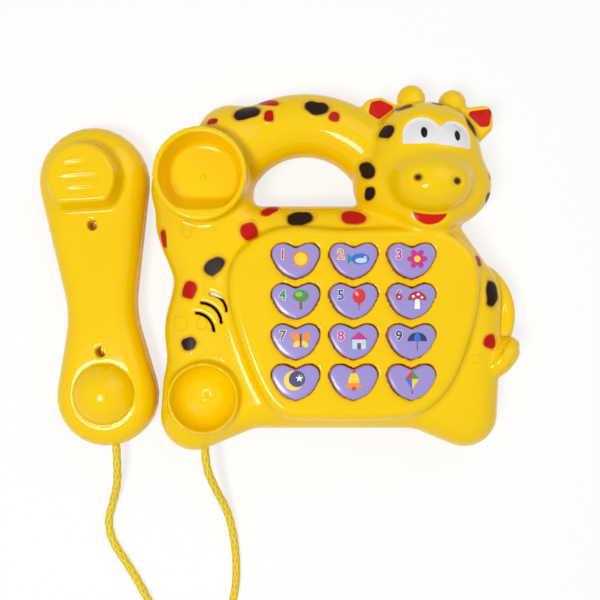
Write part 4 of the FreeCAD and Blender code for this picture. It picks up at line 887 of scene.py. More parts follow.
def handset_form(x, y, z):
    """A waisted slab, the leaning block and the dome, run together. The ring and the grooves are cut in."""
    grip = slab(flat_distance(x, y, belt(HANDSET_CORNERS)), z, 0.0, HANDSET_TOP, *GRIP_ROUND)
    ear = flat_distance(x, y, belt(EARPIECE_CORNERS)) + (z - EARPIECE_TOP) * EARPIECE_DRAFT
    ear = slab(ear, z, HANDSET_PARTING, EARPIECE_TOP, *EARPIECE_ROUND)
    form = smooth_min(grip, ear, EARPIECE_BLEND)
    dome = ball(x, y, z, (*VOICE_CENTRE, VOICE_LEVEL), VOICE_RADIUS)
    form = smooth_min(form, np.maximum(dome, HANDSET_PARTING - z), VOICE_BLEND)
    ring = axis_distance(x, y, VOICE_CENTRE) - VOICE_RING
    ring = np.sqrt(ring**2 + (z - HANDSET_TOP) ** 2) - RING_RADIUS
    form = smooth_max(form, -ring, RING_EDGE)
    for groove_x, groove_y, half in GROOVES:
        centre = (groove_x, groove_y, EARPIECE_TOP + GROOVE_RISE)
        form = smooth_max(form, -egg(x, y, z, centre, (half, *GROOVE_RADII)), GROOVE_EDGE)
    return form


print("top of the dome", round(VOICE_LEVEL + VOICE_RADIUS, 2))

# %% Walls of the handset
HANDSET_SCREWS = [(0.0, 32.5), (0.0, -32.5)]
HANDSET_CORD = (2.4, 12.0, 2.45, -70.0)
SCREW_TUBE = 4.0
SCREW_HOLE = 2.6
SCREW_FLOOR = HANDSET_PARTING + 2.0


def handset_wall(x, y, z):
    """The form less its hollow, with a tube round each screw and the hole for the cord."""
    form = handset_form(x, y, z)
    hollow = form + WALL
    holes = cord_hole_field(x, y, z, HANDSET_CORD)
    for place in HANDSET_SCREWS:
        hollow = np.maximum(hollow, -post(x, y, z, place, SCREW_TUBE, BELOW, ABOVE))
        holes = np.minimum(holes, post(x, y, z, place, SCREW_HOLE, SCREW_FLOOR, ABOVE))
    return np.maximum(np.maximum(form, -hollow), -holes)


def handset_front_field(x, y, z):
    """The wall above the parting plane."""
    return np.maximum(handset_wall(x, y, z), HANDSET_PARTING + SEAM - z)


def handset_back_field(x, y, z):
    """The wall below the parting plane."""
    return np.maximum(handset_wall(x, y, z), z - HANDSET_PARTING + SEAM)


print("screw holes of the handset", len(HANDSET_SCREWS))

# %% Meshes of the handset
HANDSET_PLACE = (-130.0, 16.4)
HANDSET_TURN = math.radians(3.6)
HANDSET_CELL = 0.9
HANDSET_X = (-31.0, 31.0)
HANDSET_Y = (-85.0, 87.0)
EARPIECE_X = (-16.0, 12.0, 0.5)
EARPIECE_Y = (46.0, 66.0, 0.5)
HANDSET_HALVES = [
    ("handset_front", handset_front_field, (10.6, 36.5)),
    ("handset_back", handset_back_field, (-1.4, 13.6)),
]


def place_handset(piece):
    """Turns and moves the points of a piece from the handset's own frame to its place beside the base."""
    turn = np.array([
        [math.cos(HANDSET_TURN), -math.sin(HANDSET_TURN), 0],
        [math.sin(HANDSET_TURN), math.cos(HANDSET_TURN), 0],
        [0, 0, 1],
    ])
    points = piece_points(piece) @ turn.T + np.array([*HANDSET_PLACE, 0]) * MM
    piece.data.vertices.foreach_set("co", points.astype(np.float32).ravel())
    piece.data.update()


handset_x = lines(*HANDSET_X, HANDSET_CELL, EARPIECE_X)
handset_y = lines(*HANDSET_Y, HANDSET_CELL, EARPIECE_Y)
handset_halves = []
for node, field, levels in HANDSET_HALVES:
    half = net_piece(node + "_moulding", field, (handset_x, handset_y, lines(*levels, HANDSET_CELL)))
    place_handset(half)
    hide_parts(node)
    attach(half, "handset")
    handset_halves.append(half)

# %% [markdown]
# Each key is a heart: the outline carried along a profile that goes from the plunger over the lip and up
# the side to a rounded edge and a slightly crowned top. Two parameters give every point, the place along
# the outline and the place along the profile. An extruded curve with a bevel would give the sides as
# well, but neither the crown nor the lip that holds the key in its hole.

# %% Heart keys
KEY_NAMES = [f"key_{number}" for number in range(1, 10)] + ["key_mode", "key_music", "key_quiz"]
KEY_PLACES = [(x, y) for y in KEY_ROWS for x in KEY_COLUMNS]
KEY_TOP = 46.2
KEY_EDGE = 1.0
KEY_CROWN = 0.25
CROWN_RADII = (11.0, 8.0)
KEY_LIP = (0.9, 39.4, 40.6)
PLUNGER = (3.0, 37.8)
ALMOST_NONE = 0.02
EDGE_STEPS = 5
TOP_SHARES = (0.85, 0.7, 0.5, 0.3, 0.12, 0.002)


def crown(x, y):
    """Height of the key's top at a point of its own frame: highest in the middle, level at the rim."""
    share = np.clip((x / CROWN_RADII[0]) ** 2 + (y / CROWN_RADII[1]) ** 2, 0, 1)
    return KEY_TOP + KEY_CROWN * (1 - share)


def heart_rings():
    """One ring of points for each step of the profile, from the middle of the plunger to the top."""
    side = belt(HEART_CORNERS)
    round_side = side / np.linalg.norm(side, axis=1, keepdims=True)
    lip, low, high = KEY_LIP
    radius, foot = PLUNGER
    rings = [(ALMOST_NONE * round_side, foot), (radius * round_side, foot), (radius * round_side, low)]
    rings += [(belt(HEART_CORNERS, lip), low), (belt(HEART_CORNERS, lip), high), (side, high)]
    for step in np.linspace(0, np.pi / 2, EDGE_STEPS):
        rim = belt(HEART_CORNERS, KEY_EDGE * (math.cos(step) - 1))
        rings.append((rim, KEY_TOP - KEY_EDGE + KEY_EDGE * math.sin(step)))
    rings = [np.column_stack([ring, np.full(len(ring), level)]) for ring, level in rings]
    for share in TOP_SHARES:
        rings.append(np.column_stack([rim * share, crown(*(rim * share).T)]))
    return np.array(rings)


heart = heart_rings()
keys = {}
for name, (x, y) in zip(KEY_NAMES, KEY_PLACES):
    points = heart.reshape(-1, 3) + np.array([x, y, 0])
    keys[name] = mesh_piece(name + "_cap", points, ring_faces(*heart.shape[:2]))
    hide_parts(name)
    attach(keys[name], name)
print("keys", len(keys), "points each", heart.shape[0] * heart.shape[1])

# %% [markdown]
# Under the keys lies a rubber mat with a hollow dome below each plunger. A pressed key buckles its dome,
# and the dome pushes it back. The sheet is a field with holes. Each dome is a profile turned about its
# axis.

# %% Rubber mat
MAT_SIZE = (73.7, 72.0)
MAT_LEVELS = (33.8, 34.8)
MAT_CELL = 0.8
MAT_LAYER = 0.25
MARGIN = 1.0
LAYER_MARGIN = 0.4
DOME_HOLE = 3.4
BOSS_HOLE = 2.65
BOSS_ROWS = (-17.7, 21.5)
BOARD_BOSSES = [(side * KEY_COLUMNS[2] / 2, row) for side in (-1, 1) for row in BOSS_ROWS]


def mat_field(x, y, z):
    """A sheet with a hole under each dome and one for each boss of the board."""
    low, high = MAT_LEVELS
    sheet = block(x, y, z, (0.0, 0.0), MAT_SIZE, low, high)
    for places, radius in ((KEY_PLACES, DOME_HOLE), (BOARD_BOSSES, BOSS_HOLE)):
        for place in places:
            sheet = np.maximum(sheet, -post(x, y, z, place, radius, low - MARGIN, high + MARGIN))
    return sheet


mat_grid = [lines(-length / 2 - MARGIN, length / 2 + MARGIN, MAT_CELL) for length in MAT_SIZE]
mat_grid.append(lines(MAT_LEVELS[0] - LAYER_MARGIN, MAT_LEVELS[1] + LAYER_MARGIN, MAT_LAYER))
mat = net_piece("keypad_mat_sheet", mat_field, mat_grid)
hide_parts("keypad_mat")
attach(mat, "base")

# %% Domes of the mat
DOME_SIDES = 24
DOME_PROFILE = [
    (ALMOST_NONE, 36.8),
    (2.0, 36.8),
    (2.36, 36.1),
    (2.72, 35.4),
    (3.07, 34.8),
    (4.6, 34.8),
    (4.2, 35.55),
    (3.8, 36.3),
    (3.4, 37.05),
    (3.0, 37.8),
    (ALMOST_NONE, 37.8),
]


def turned(profile, sides):
    """Rings of points: each pair of radius and level, carried round the axis."""
    turn = np.linspace(0, 2 * np.pi, sides, endpoint=False)
    radius, level = np.array(profile).T[:, :, None]
    rings = np.stack([radius * np.cos(turn), radius * np.sin(turn), level + 0 * turn], axis=-1)
    return rings.reshape(-1, 3)


domes = []
for name, (x, y) in zip(KEY_NAMES, KEY_PLACES):
    points = turned(DOME_PROFILE, DOME_SIDES) + np.array([x, y, 0])
    dome = mesh_piece(name + "_dome", points, ring_faces(len(DOME_PROFILE), DOME_SIDES))
    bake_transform(dome)
    domes.append(dome)
print("domes", len(domes))

# %% [markdown]
# Each key carries a printed picture: a sun, a fish, a flower and so on. Nine of them also have a number,
# as on any telephone. The print is flat outlines, laid on the crowned top one above the other like layers
# of ink. The colour of each outline goes into an attribute of its face corners, so all the ink is one
# material.

# %% Inks and simple shapes
def screen(red, green, blue):
    """A colour as it looks on a screen, from 0 to 255, as the linear values that Blender uses."""
    share = np.array([red, green, blue]) / 255
    return tuple(np.where(share <= 0.04045, share / 12.92, ((share + 0.055) / 1.055) ** 2.4)) + (1.0,)


INK = {
    "white": screen(250, 250, 250),
    "black": screen(25, 22, 30),
    "red": screen(222, 40, 45),
    "crimson": screen(190, 20, 60),
    "orange": screen(245, 140, 20),
    "yellow": screen(252, 214, 40),
    "green": screen(40, 150, 70),
    "lime": screen(140, 200, 60),
    "teal": screen(20, 140, 160),
    "blue": screen(50, 110, 210),
    "navy": screen(35, 40, 95),
    "magenta": screen(205, 35, 140),
    "pink": screen(246, 150, 190),
    "brown": screen(125, 70, 35),
    "sky": screen(190, 225, 250),
}
OVAL_STEPS = 28


def oval(x, y, wide, high, turn=0.0, part=(0.0, 2 * np.pi)):
    """Points of an ellipse, or of the part of it between two angles, turned about its middle."""
    angle = np.linspace(*part, OVAL_STEPS, endpoint=part[1] - part[0] < 2 * np.pi)
    along, up = wide * np.cos(angle), high * np.sin(angle)
    return np.column_stack([
        x + along * math.cos(turn) - up * math.sin(turn),
        y + along * math.sin(turn) + up * math.cos(turn),
    ])


def rayed(x, y, outer, inner, rays):
    """A star: points at two radii by turns."""
    angle = np.arange(2 * rays) * np.pi / rays + np.pi / 2
    radius = np.where(np.arange(2 * rays) % 2 == 0, outer, inner)
    return np.column_stack([x + radius * np.cos(angle), y + radius * np.sin(angle)])


def corners(*points):
    """An outline with straight sides between the given points."""
    return np.array(points, dtype=float)


def petals(colour, count, reach, wide, high):
    """Ovals set round the middle like spokes."""
    angles = np.arange(count) * 2 * np.pi / count
    return [(colour, oval(reach * math.cos(a), reach * math.sin(a), wide, high, a)) for a in angles]


print("inks", len(INK))

# %% Pictures of the keys
HALF = (0.0, np.pi)
PICTURES = {
    "key_1": [("orange", rayed(0, 0, 4.4, 2.9, 11)), ("yellow", oval(0, 0, 2.7, 2.7))],
    "key_2": [
        ("teal", corners((-5.0, 2.2), (-2.2, 0.0), (-5.0, -2.2))),
        ("blue", oval(0.6, 0.0, 3.9, 2.4)),
        ("sky", oval(0.9, -0.7, 2.6, 1.1)),
        ("white", oval(2.7, 0.6, 0.6, 0.6)),
        ("black", oval(2.8, 0.6, 0.3, 0.3)),
    ],
    "key_3": petals("magenta", 6, 2.6, 1.8, 1.25) + [("yellow", oval(0, 0, 1.4, 1.4))],
    "key_4": [
        ("brown", corners((-0.6, -4.2), (0.6, -4.2), (0.5, -0.4), (-0.5, -0.4))),
        ("green", oval(0.0, 1.6, 3.4, 2.6)),
        ("lime", oval(-0.8, 2.3, 1.6, 1.1)),
        ("red", oval(1.4, 1.0, 0.6, 0.6)),
        ("red", oval(-1.5, 0.6, 0.6, 0.6)),
    ],
    "key_5": [
        ("navy", corners((-0.12, -4.6), (0.12, -4.6), (0.12, -1.6), (-0.12, -1.6))),
        ("red", corners((-0.8, -2.3), (0.8, -2.3), (0.0, -1.0))),
        ("red", oval(0.0, 1.5, 2.8, 3.2)),
        ("pink", oval(-1.0, 2.5, 0.7, 1.1, 0.5)),
    ],
    "key_6": [
        ("white", corners((-1.2, -4.0), (1.2, -4.0), (0.9, 0.2), (-0.9, 0.2))),
        ("crimson", oval(0.0, -0.2, 4.0, 3.8, 0.0, HALF)),
        ("white", oval(-1.7, 1.3, 0.7, 0.6)),
        ("white", oval(0.4, 2.3, 0.7, 0.6)),
        ("white", oval(2.0, 0.9, 0.6, 0.5)),
    ],
    "key_7": [
        ("orange", oval(-2.2, 1.5, 2.4, 1.7, 2.4)),
        ("orange", oval(2.2, 1.5, 2.4, 1.7, 0.74)),
        ("yellow", oval(-1.7, -1.6, 1.8, 1.2, 0.7)),
        ("yellow", oval(1.7, -1.6, 1.8, 1.2, -0.7)),
        ("navy", oval(0.0, 0.0, 0.5, 3.0)),
    ],
    "key_8": [
        ("sky", corners((-2.9, -3.8), (2.9, -3.8), (2.9, 0.4), (-2.9, 0.4))),
        ("magenta", corners((-3.8, 0.3), (3.8, 0.3), (0.0, 3.8))),
        ("brown", corners((-0.8, -3.8), (0.8, -3.8), (0.8, -1.2), (-0.8, -1.2))),
        ("yellow", corners((1.3, -1.9), (2.4, -1.9), (2.4, -0.8), (1.3, -0.8))),
    ],
    "key_9": [
        ("navy", oval(0.0, -0.4, 4.2, 3.8, 0.0, HALF)),
        ("blue", oval(0.0, -0.4, 1.5, 3.7, 0.0, HALF)),
        ("brown", corners((-0.18, -4.4), (0.18, -4.4), (0.18, -0.4), (-0.18, -0.4))),
    ],
    "key_mode": [
        ("yellow", oval(-0.9, 0.2, 4.2, 4.2)),
        ("navy", oval(0.6, 0.9, 3.5, 3.5)),
        ("white", rayed(1.6, 1.2, 1.7, 0.75, 5)),
    ],
    "key_music": [
        ("red", oval(0.0, -3.3, 1.0, 1.0)),
        ("orange", corners((-4.0, -2.8), (4.0, -2.8), (2.4, -0.6), (-2.4, -0.6))),
        ("yellow", oval(0.0, -0.8, 2.4, 4.6, 0.0, HALF)),
        ("red", oval(0.0, 4.0, 0.7, 0.7)),
    ],
    "key_quiz": [
        ("green", corners((0.0, 4.6), (3.0, 1.0), (0.0, 1.0))),
        ("red", corners((0.0, 4.6), (-3.0, 1.0), (0.0, 1.0))),
        ("blue", corners((-3.0, 1.0), (0.0, 1.0), (0.0, -3.4))),
        ("yellow", corners((3.0, 1.0), (0.0, 1.0), (0.0, -3.4))),
        ("navy", corners((-0.1, -5.4), (0.3, -5.4), (0.1, -3.4), (-0.1, -3.4))),
    ],
}
NUMBER_INKS = ("red", "orange", "magenta", "green", "navy", "crimson", "brown", "magenta", "navy")
print("pictures", len(PICTURES))

# %% Ink on the keys
NUMBER_SIZE = 6.8
NUMBER_PLACE = (-6.3, 3.0)
NUMBER_BOLD = 0.14
NUMBER_SWELL = 0.36
PICTURE_PLACE = {True: (2.5, 1.0), False: (0.0, 0.9)}
PICTURE_SCALE = 1.12
INK_LIFT = 0.05
INK_STEP = 0.02


def number_shape(text, swell):
    """Points and faces of a number, made from a text and swelled by an offset."""
    curve = bpy.data.curves.new("number", "FONT")
    curve.body = text
    curve.size = NUMBER_SIZE
    curve.offset = swell
    curve.align_x = "CENTER"
    curve.align_y = "CENTER"
    points, faces = drawn_shape("number", curve)
    return points[:, :2] + np.array(NUMBER_PLACE), faces



def key_ink(name, place, layers):
    """One mesh of all the layers, each a little higher than the last, with its colour at every corner."""
    points, faces, colours = [], [], []
    for level, (colour, outline, outline_faces) in enumerate(layers):
        start = sum(len(part) for part in points)
        height = crown(*outline.T) + INK_LIFT + INK_STEP * level
        points.append(np.column_stack([outline + np.array(place), height]))
        faces += [tuple(start + index for index in face) for face in outline_faces]
        colours += [INK[colour]] * sum(len(face) for face in outline_faces)
    mesh = bpy.data.meshes.new(name)
    mesh.from_pydata((np.concatenate(points) * MM).tolist(), [], faces)
    ink = mesh.color_attributes.new("ink", "FLOAT_COLOR", "CORNER")
    ink.data.foreach_set("color", np.array(colours, dtype=np.float32).ravel())
    piece = bpy.data.objects.new(name, mesh)
    scene.collection.objects.link(piece)
    return piece


ink_pieces = []
for number, (name, place) in enumerate(zip(KEY_NAMES, KEY_PLACES), start=1):
    numbered = number <= len(NUMBER_INKS)
    centre = np.array(PICTURE_PLACE[numbered])
    layers = []
    if numbered:
        layers.append(("white", *number_shape(str(number), NUMBER_SWELL)))
        layers.append((NUMBER_INKS[number - 1], *number_shape(str(number), NUMBER_BOLD)))
    for colour, outline in PICTURES[name]:
        layers.append((colour, outline * PICTURE_SCALE + centre, [tuple(range(len(outline)))]))
    ink_pieces.append(key_ink(name + "_print", place, layers))
    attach(ink_pieces[-1], name)
print("printed keys", len(ink_pieces))

# %% [markdown]
# Every finish starts from the same node group. It takes a colour and a roughness and gives back both with
# slow variation, and a fine grain for the bump, because moulded or pressed surfaces are never quite even.
# The Principled shader itself stays in each material.

# %% Helpers for shader nodes
def add(tree, kind, inputs=None, **settings):
    """A shader node with its settings, whose inputs are values or the outputs of other nodes."""
    item = tree.nodes.new("ShaderNode" + kind)
    for name, value in settings.items():
        setattr(item, name, value)
    for name, value in (inputs or {}).items():
        if isinstance(value, bpy.types.NodeSocket):
            tree.links.new(value, item.inputs[name])
        else:
            item.inputs[name].default_value = value
    return item


def new_group(name, inputs, outputs):
    """An empty node group with named sockets, and its two end nodes."""
    group = bpy.data.node_groups.new(name, "ShaderNodeTree")
    for socket, kind in inputs.items():
        group.interface.new_socket(socket, in_out="INPUT", socket_type="NodeSocket" + kind)
    for socket, kind in outputs.items():
        group.interface.new_socket(socket, in_out="OUTPUT", socket_type="NodeSocket" + kind)
    return group, group.nodes.new("NodeGroupInput").outputs, group.nodes.new("NodeGroupOutput").inputs


def math_node(tree, operation, first, second=0.0):
    """The result of one operation on two values or outputs."""
    return add(tree, "Math", {0: first, 1: second}, operation=operation).outputs[0]


def vector_node(tree, operation, first, second):
    """The result of one operation on two vectors."""
    return add(tree, "VectorMath", {0: first, 1: second}, operation=operation).outputs[0]


def ramp_node(tree, value, zero, one, shape="LINEAR"):
    """Rises from zero to one while the value goes from one limit to the other."""
    limits = {"Value": value, "From Min": zero, "From Max": one}
    return add(tree, "MapRange", limits, interpolation_type=shape).outputs[0]


def object_place(tree):
    """The place of a point in the piece's own coordinates, in metres."""
    return add(tree, "TexCoord").outputs["Object"]


def mix_colour(tree, share, first, second, blend="MIX"):
    """The first colour, with the given share of the second."""
    mix = add(tree, "Mix", {0: share, 6: first, 7: second}, data_type="RGBA", blend_type=blend)
    return mix.outputs[2]


print("materials before any finish", len(bpy.data.materials))

# %% Shared grain
SLOW_SCALE = 35.0
SLOW_SHADE = (0.82, 0.8, 0.78, 1)


def grain_group():
    """Noise at two scales: a slow one for colour and roughness, a fine one for the height of the grain."""
    group, given, result = new_group(
        "fine_grain",
        {
            "Vector": "Vector",
            "Colour": "Color",
            "Roughness": "Float",
            "Variation": "Float",
            "Grain": "Float",
        },
        {"Colour": "Color", "Roughness": "Float", "Height": "Float"},
    )
    vector = given["Vector"]
    slow = add(group, "TexNoise", {"Vector": vector, "Scale": SLOW_SCALE, "Detail": 3.0}).outputs[0]
    fine = add(group, "TexNoise", {"Vector": vector, "Scale": given["Grain"], "Detail": 2.0}).outputs[0]
    darker = mix_colour(group, 1.0, given["Colour"], SLOW_SHADE, "MULTIPLY")
    share = math_node(group, "MULTIPLY", slow, given["Variation"])
    group.links.new(mix_colour(group, share, given["Colour"], darker), result["Colour"])
    swing = math_node(group, "MULTIPLY", math_node(group, "SUBTRACT", slow, 0.5), given["Variation"])
    group.links.new(math_node(group, "ADD", given["Roughness"], swing), result["Roughness"])
    group.links.new(fine, result["Height"])
    return group


grain = grain_group()
print("grain nodes", len(grain.nodes))

# %% Making a finish
GRAIN_HEIGHT = 0.0004
COAT_ROUGHNESS = 0.06


def finish(
    name,
    colour,
    roughness,
    variation=0.3,
    grain_size=900.0,
    bump=0.05,
    metallic=0.0,
    coat=0.0,
    specular=0.5,
):
    """A material on Object coordinates, and its tree with the grain, bump and Principled nodes."""
    material = bpy.data.materials.new(name)
    material.use_nodes = True
    tree = material.node_tree
    shader = tree.nodes["Principled BSDF"]
    given = {
        "Vector": object_place(tree),
        "Colour": colour,
        "Roughness": roughness,
        "Variation": variation,
        "Grain": grain_size,
    }
    base = add(tree, "Group", given, node_tree=grain)
    height = {"Strength": bump, "Distance": GRAIN_HEIGHT, "Height": base.outputs["Height"]}
    relief = add(tree, "Bump", height)
    tree.links.new(base.outputs["Colour"], shader.inputs["Base Color"])
    tree.links.new(base.outputs["Roughness"], shader.inputs["Roughness"])
    tree.links.new(relief.outputs[0], shader.inputs["Normal"])
    shader.inputs["Metallic"].default_value = metallic
    shader.inputs["Coat Weight"].default_value = coat
    shader.inputs["Specular IOR Level"].default_value = specular
    shader.inputs["Coat Roughness"].default_value = COAT_ROUGHNESS
    return material, tree, base, relief, shader


def wear(pieces, material):
    """Gives each piece that one material."""
    for piece in pieces:
        piece.data.materials.clear()
        piece.data.materials.append(material)


SHELL_YELLOW = screen(252, 208, 0)
SHELL_FINISH = {
    "roughness": 0.12,
    "variation": 0.16,
    "grain_size": 260.0,
    "bump": 0.02,
    "coat": 0.2,
    "specular": 0.12,
}
shell_material = finish("yellow_shell", SHELL_YELLOW, **SHELL_FINISH)[0]
wear([back, *handset_halves], shell_material)
print("shell colour", [round(value, 3) for value in SHELL_YELLOW])

# %% [markdown]
# The giraffe's spots are sprayed through a mask, so each has a dense middle and a soft, warmer edge, and
# the mould gives each a low rim. One node group draws a spot: it measures the distance from the spot's
# middle in units of its radii. The face is painted with a brush and a stamp, so its ovals are crisp.

# %% Group that draws a spot
SPRAY_ENDS = (1.5, 0.8)
RIM_PLACE = 1.2
RIM_HALF = 0.16


def spot_group():
    """Scaled distance from a centre: dense below one, thin spray up to half as far again, a rim between."""
    group, given, result = new_group(
        "sprayed_spot",
        {
            "Vector": "Vector",
            "Centre": "Vector",
            "Radii": "Vector",
            "Turn": "Float",
            "Edge": "Float",
            "Squareness": "Float",
        },
        {"Core": "Float", "Spray": "Float", "Rim": "Float"},
    )
    away = vector_node(group, "SUBTRACT", given["Vector"], given["Centre"])
    level = add(group, "VectorRotate", {"Vector": away, "Angle": given["Turn"]}, rotation_type="Z_AXIS")
    scaled = vector_node(group, "DIVIDE", level.outputs[0], given["Radii"])
    reach = 0.0
    for side in add(group, "SeparateXYZ", {0: scaled}).outputs:
        size = math_node(group, "ABSOLUTE", side)
        reach = math_node(group, "ADD", math_node(group, "POWER", size, given["Squareness"]), reach)
    reach = math_node(group, "POWER", reach, math_node(group, "DIVIDE", 1.0, given["Squareness"]))
    outer = math_node(group, "ADD", 1.0, given["Edge"])
    inner = math_node(group, "SUBTRACT", 1.0, given["Edge"])
    for socket, low, high in (("Core", outer, inner), ("Spray", *SPRAY_ENDS)):
        group.links.new(ramp_node(group, reach, low, high, "SMOOTHSTEP"), result[socket])
    off = math_node(group, "ABSOLUTE", math_node(group, "SUBTRACT", reach, RIM_PLACE))
    group.links.new(ramp_node(group, off, RIM_HALF, 0.0), result["Rim"])
    return group


spot = spot_group()
print("spot nodes", len(spot.nodes))

# %% Places of the spots
BROWN_SPOTS = [
    (-52.5, 103.6, 33, 6.4, 3.4, 25),
    (-18.0, 106.0, 33, 6.0, 3.4, -12),
    (-26.1, 51.0, 37, 6.7, 3.8, 0),
    (-68.4, 27.4, 37, 5.4, 4.0, 45),
    (-80.8, -11.0, 36, 4.2, 3.0, 20),
    (69.0, 13.6, 31, 3.4, 6.6, 0),
    (16.2, 92.4, 39, 3.4, 4.0, -30),
    (7.0, 74.8, 37, 3.4, 4.8, 15),
    (8.3, 62.8, 36, 2.7, 3.2, 0),
    (25.5, 105.6, 36, 4.2, 2.0, 12),
    (41.7, 108.0, 33, 3.0, 2.0, 0),
    (58.7, 96.3, 38, 1.9, 5.6, 25),
    (70.0, 74.4, 31, 1.8, 4.0, 0),
    (68.5, 60.8, 31, 1.8, 3.4, -20),
]
RED_SPOTS = [
    (-41.6, 109.3, 28, 5.4, 2.0, -12),
    (-41.6, 101.6, 35, 2.8, 2.6, 0),
    (-9.1, 101.4, 35, 2.6, 2.6, 0),
    (-69.2, 98.9, 34, 2.4, 1.8, 0),
    (-94.0, 41.2, 30, 2.0, 4.6, 0),
    (-51.0, 44.3, 37, 4.3, 4.4, 20),
    (-40.9, 55.7, 35, 5.0, 2.0, 20),
    (0.4, 51.6, 37, 6.2, 3.6, -4),
    (-80.4, 15.1, 36, 3.2, 4.6, -15),
    (68.0, -9.6, 32, 3.4, 3.8, 0),
    (62.5, 29.7, 33, 2.2, 2.8, 0),
]
BARE_RIMS = [
    (-84.9, -1.1, 36, 2.8, 2.9, 0),
    (-74.2, -0.7, 37, 2.2, 2.6, 0),
    (-81.9, 45.9, 34, 2.2, 3.4, 0),
    (-69.4, -23.6, 37, 6.1, 6.1, 0),
    (61.1, -19.2, 34, 1.8, 1.8, 0),
]
print("spots", len(RED_SPOTS) + len(BROWN_SPOTS))

# %% Spots drawn on the front shell
SPOT_DEPTH = 11.0
SPOT_EDGE = 0.12
SPOT_SQUARENESS = 2.6
SPOT_WOBBLE = 3.6
WOBBLE_SCALE = 0.11


def highest(tree, values):
    """The largest of several masks."""
    top = values[0]
    for value in values[1:]:
        top = math_node(tree, "MAXIMUM", top, value)
    return top


def draw_spots(tree, place, spots, edge=SPOT_EDGE, squareness=SPOT_SQUARENESS):
    """The masks of a list of spots: middle, spray and rim."""
    drawn = []
    for x, y, z, wide, high, turn in spots:
        given = {
            "Vector": place,
            "Centre": (x, y, z),
            "Radii": (wide, high, SPOT_DEPTH),
            "Turn": -math.radians(turn),
            "Edge": edge,
            "Squareness": squareness,
        }
        drawn.append(add(tree, "Group", given, node_tree=spot))
    return [highest(tree, [item.outputs[name] for item in drawn]) for name in ("Core", "Spray", "Rim")]


front_material, tree, base, relief, shader = finish("painted_shell", SHELL_YELLOW, **SHELL_FINISH)
in_metres = object_place(tree)
place = add(tree, "VectorMath", {0: in_metres, "Scale": 1 / MM}, operation="SCALE").outputs[0]
noise = add(tree, "TexNoise", {"Vector": place, "Scale": WOBBLE_SCALE, "Detail": 1.0}).outputs["Color"]
centred = vector_node(tree, "SUBTRACT", noise, (0.5, 0.5, 0.5))
shift = add(tree, "VectorMath", {0: centred, "Scale": SPOT_WOBBLE}, operation="SCALE").outputs[0]
wobbled = vector_node(tree, "ADD", place, shift)
red_core, red_spray, red_rim = draw_spots(tree, wobbled, RED_SPOTS)
brown_core, brown_spray, brown_rim = draw_spots(tree, wobbled, BROWN_SPOTS)
bare_rim = draw_spots(tree, wobbled, BARE_RIMS)[2]
print("nodes of the painted shell", len(tree.nodes))

# %% Painted face
FACE_HEIGHT = 50.0
ROUND = 2.0
PUPIL_EDGE = 0.1
NOSTRIL_EDGE = 0.28
PAINT_EDGE = 0.3
STORED_MARKS = ("eye", "lip", "lining")


def store_distances(piece):
    """Puts each painted mark's distance into an attribute, so that its edge stays crisp between points."""
    x, y = (piece_points(piece) / MM)[:, :2].T
    for name, distance in face_distances(x, y).items():
        stored = piece.data.attributes.new(name, "FLOAT", "POINT")
        stored.data.foreach_set("value", distance.astype(np.float32))


def stored_mask(tree, name):
    """One where the stored distance is below zero."""
    distance = add(tree, "Attribute", attribute_name=name).outputs["Fac"]
    return ramp_node(tree, distance, PAINT_EDGE, -PAINT_EDGE, "SMOOTHSTEP")


def face_mask(tree, place, mark, edge):
    """The left and the right oval of a mark, with an edge that is a share of their radii."""
    masks = []
    for side in SIDES:
        x, y, wide, high = FACE_OVALS[f"{side}_{mark}"]
        masks.append(draw_spots(tree, place, [(x, y, FACE_HEIGHT, wide, high, 0)], edge, ROUND)[0])
    return highest(tree, masks)


store_distances(front)
eye_mask, lip_mask, lining_mask = (stored_mask(tree, name) for name in STORED_MARKS)
pupil_mask = face_mask(tree, place, "pupil", PUPIL_EDGE)
nostril_mask = face_mask(tree, place, "nostril", NOSTRIL_EDGE)
print("stored marks", STORED_MARKS)

# %% Coats of paint
PAINT = {
    "red": screen(190, 18, 12),
    "red_spray": screen(222, 120, 8),
    "brown": screen(36, 14, 8),
    "brown_spray": screen(190, 118, 6),
    "eye_white": screen(236, 236, 238),
    "pupil": screen(14, 13, 14),
    "nostril": screen(70, 26, 6),
    "lip": screen(214, 26, 16),
    "ear": screen(202, 20, 12),
}
SPRAY_SHARE = 0.5
PAINT_DULLNESS = 0.18
PAINT_SHINE = 0.04
RIM_STRENGTH = 0.5
RIM_HEIGHT = 0.0006

coats = [
    ("red_spray", math_node(tree, "MULTIPLY", red_spray, SPRAY_SHARE)),
    ("red", red_core),
    ("brown_spray", math_node(tree, "MULTIPLY", brown_spray, SPRAY_SHARE)),
    ("brown", brown_core),
    ("ear", lining_mask),
    ("eye_white", eye_mask),
    ("pupil", math_node(tree, "MULTIPLY", pupil_mask, eye_mask)),
    ("nostril", nostril_mask),
    ("lip", lip_mask),
]
colour = base.outputs["Colour"]
for paint, mask in coats:
    colour = mix_colour(tree, mask, colour, PAINT[paint])
tree.links.new(colour, shader.inputs["Base Color"])
painted = highest(tree, [red_core, brown_core, eye_mask, lip_mask, lining_mask])
duller = math_node(tree, "MULTIPLY", painted, PAINT_DULLNESS)
tree.links.new(math_node(tree, "ADD", base.outputs["Roughness"], duller), shader.inputs["Roughness"])
shine = {"Value": painted, "To Min": SHELL_FINISH["coat"], "To Max": PAINT_SHINE}
tree.links.new(add(tree, "MapRange", shine).outputs[0], shader.inputs["Coat Weight"])
rims = highest(tree, [red_rim, brown_rim, bare_rim])
rim_relief = add(tree, "Bump", {"Strength": RIM_STRENGTH, "Distance": RIM_HEIGHT, "Height": rims})
tree.links.new(relief.outputs[0], rim_relief.inputs["Normal"])
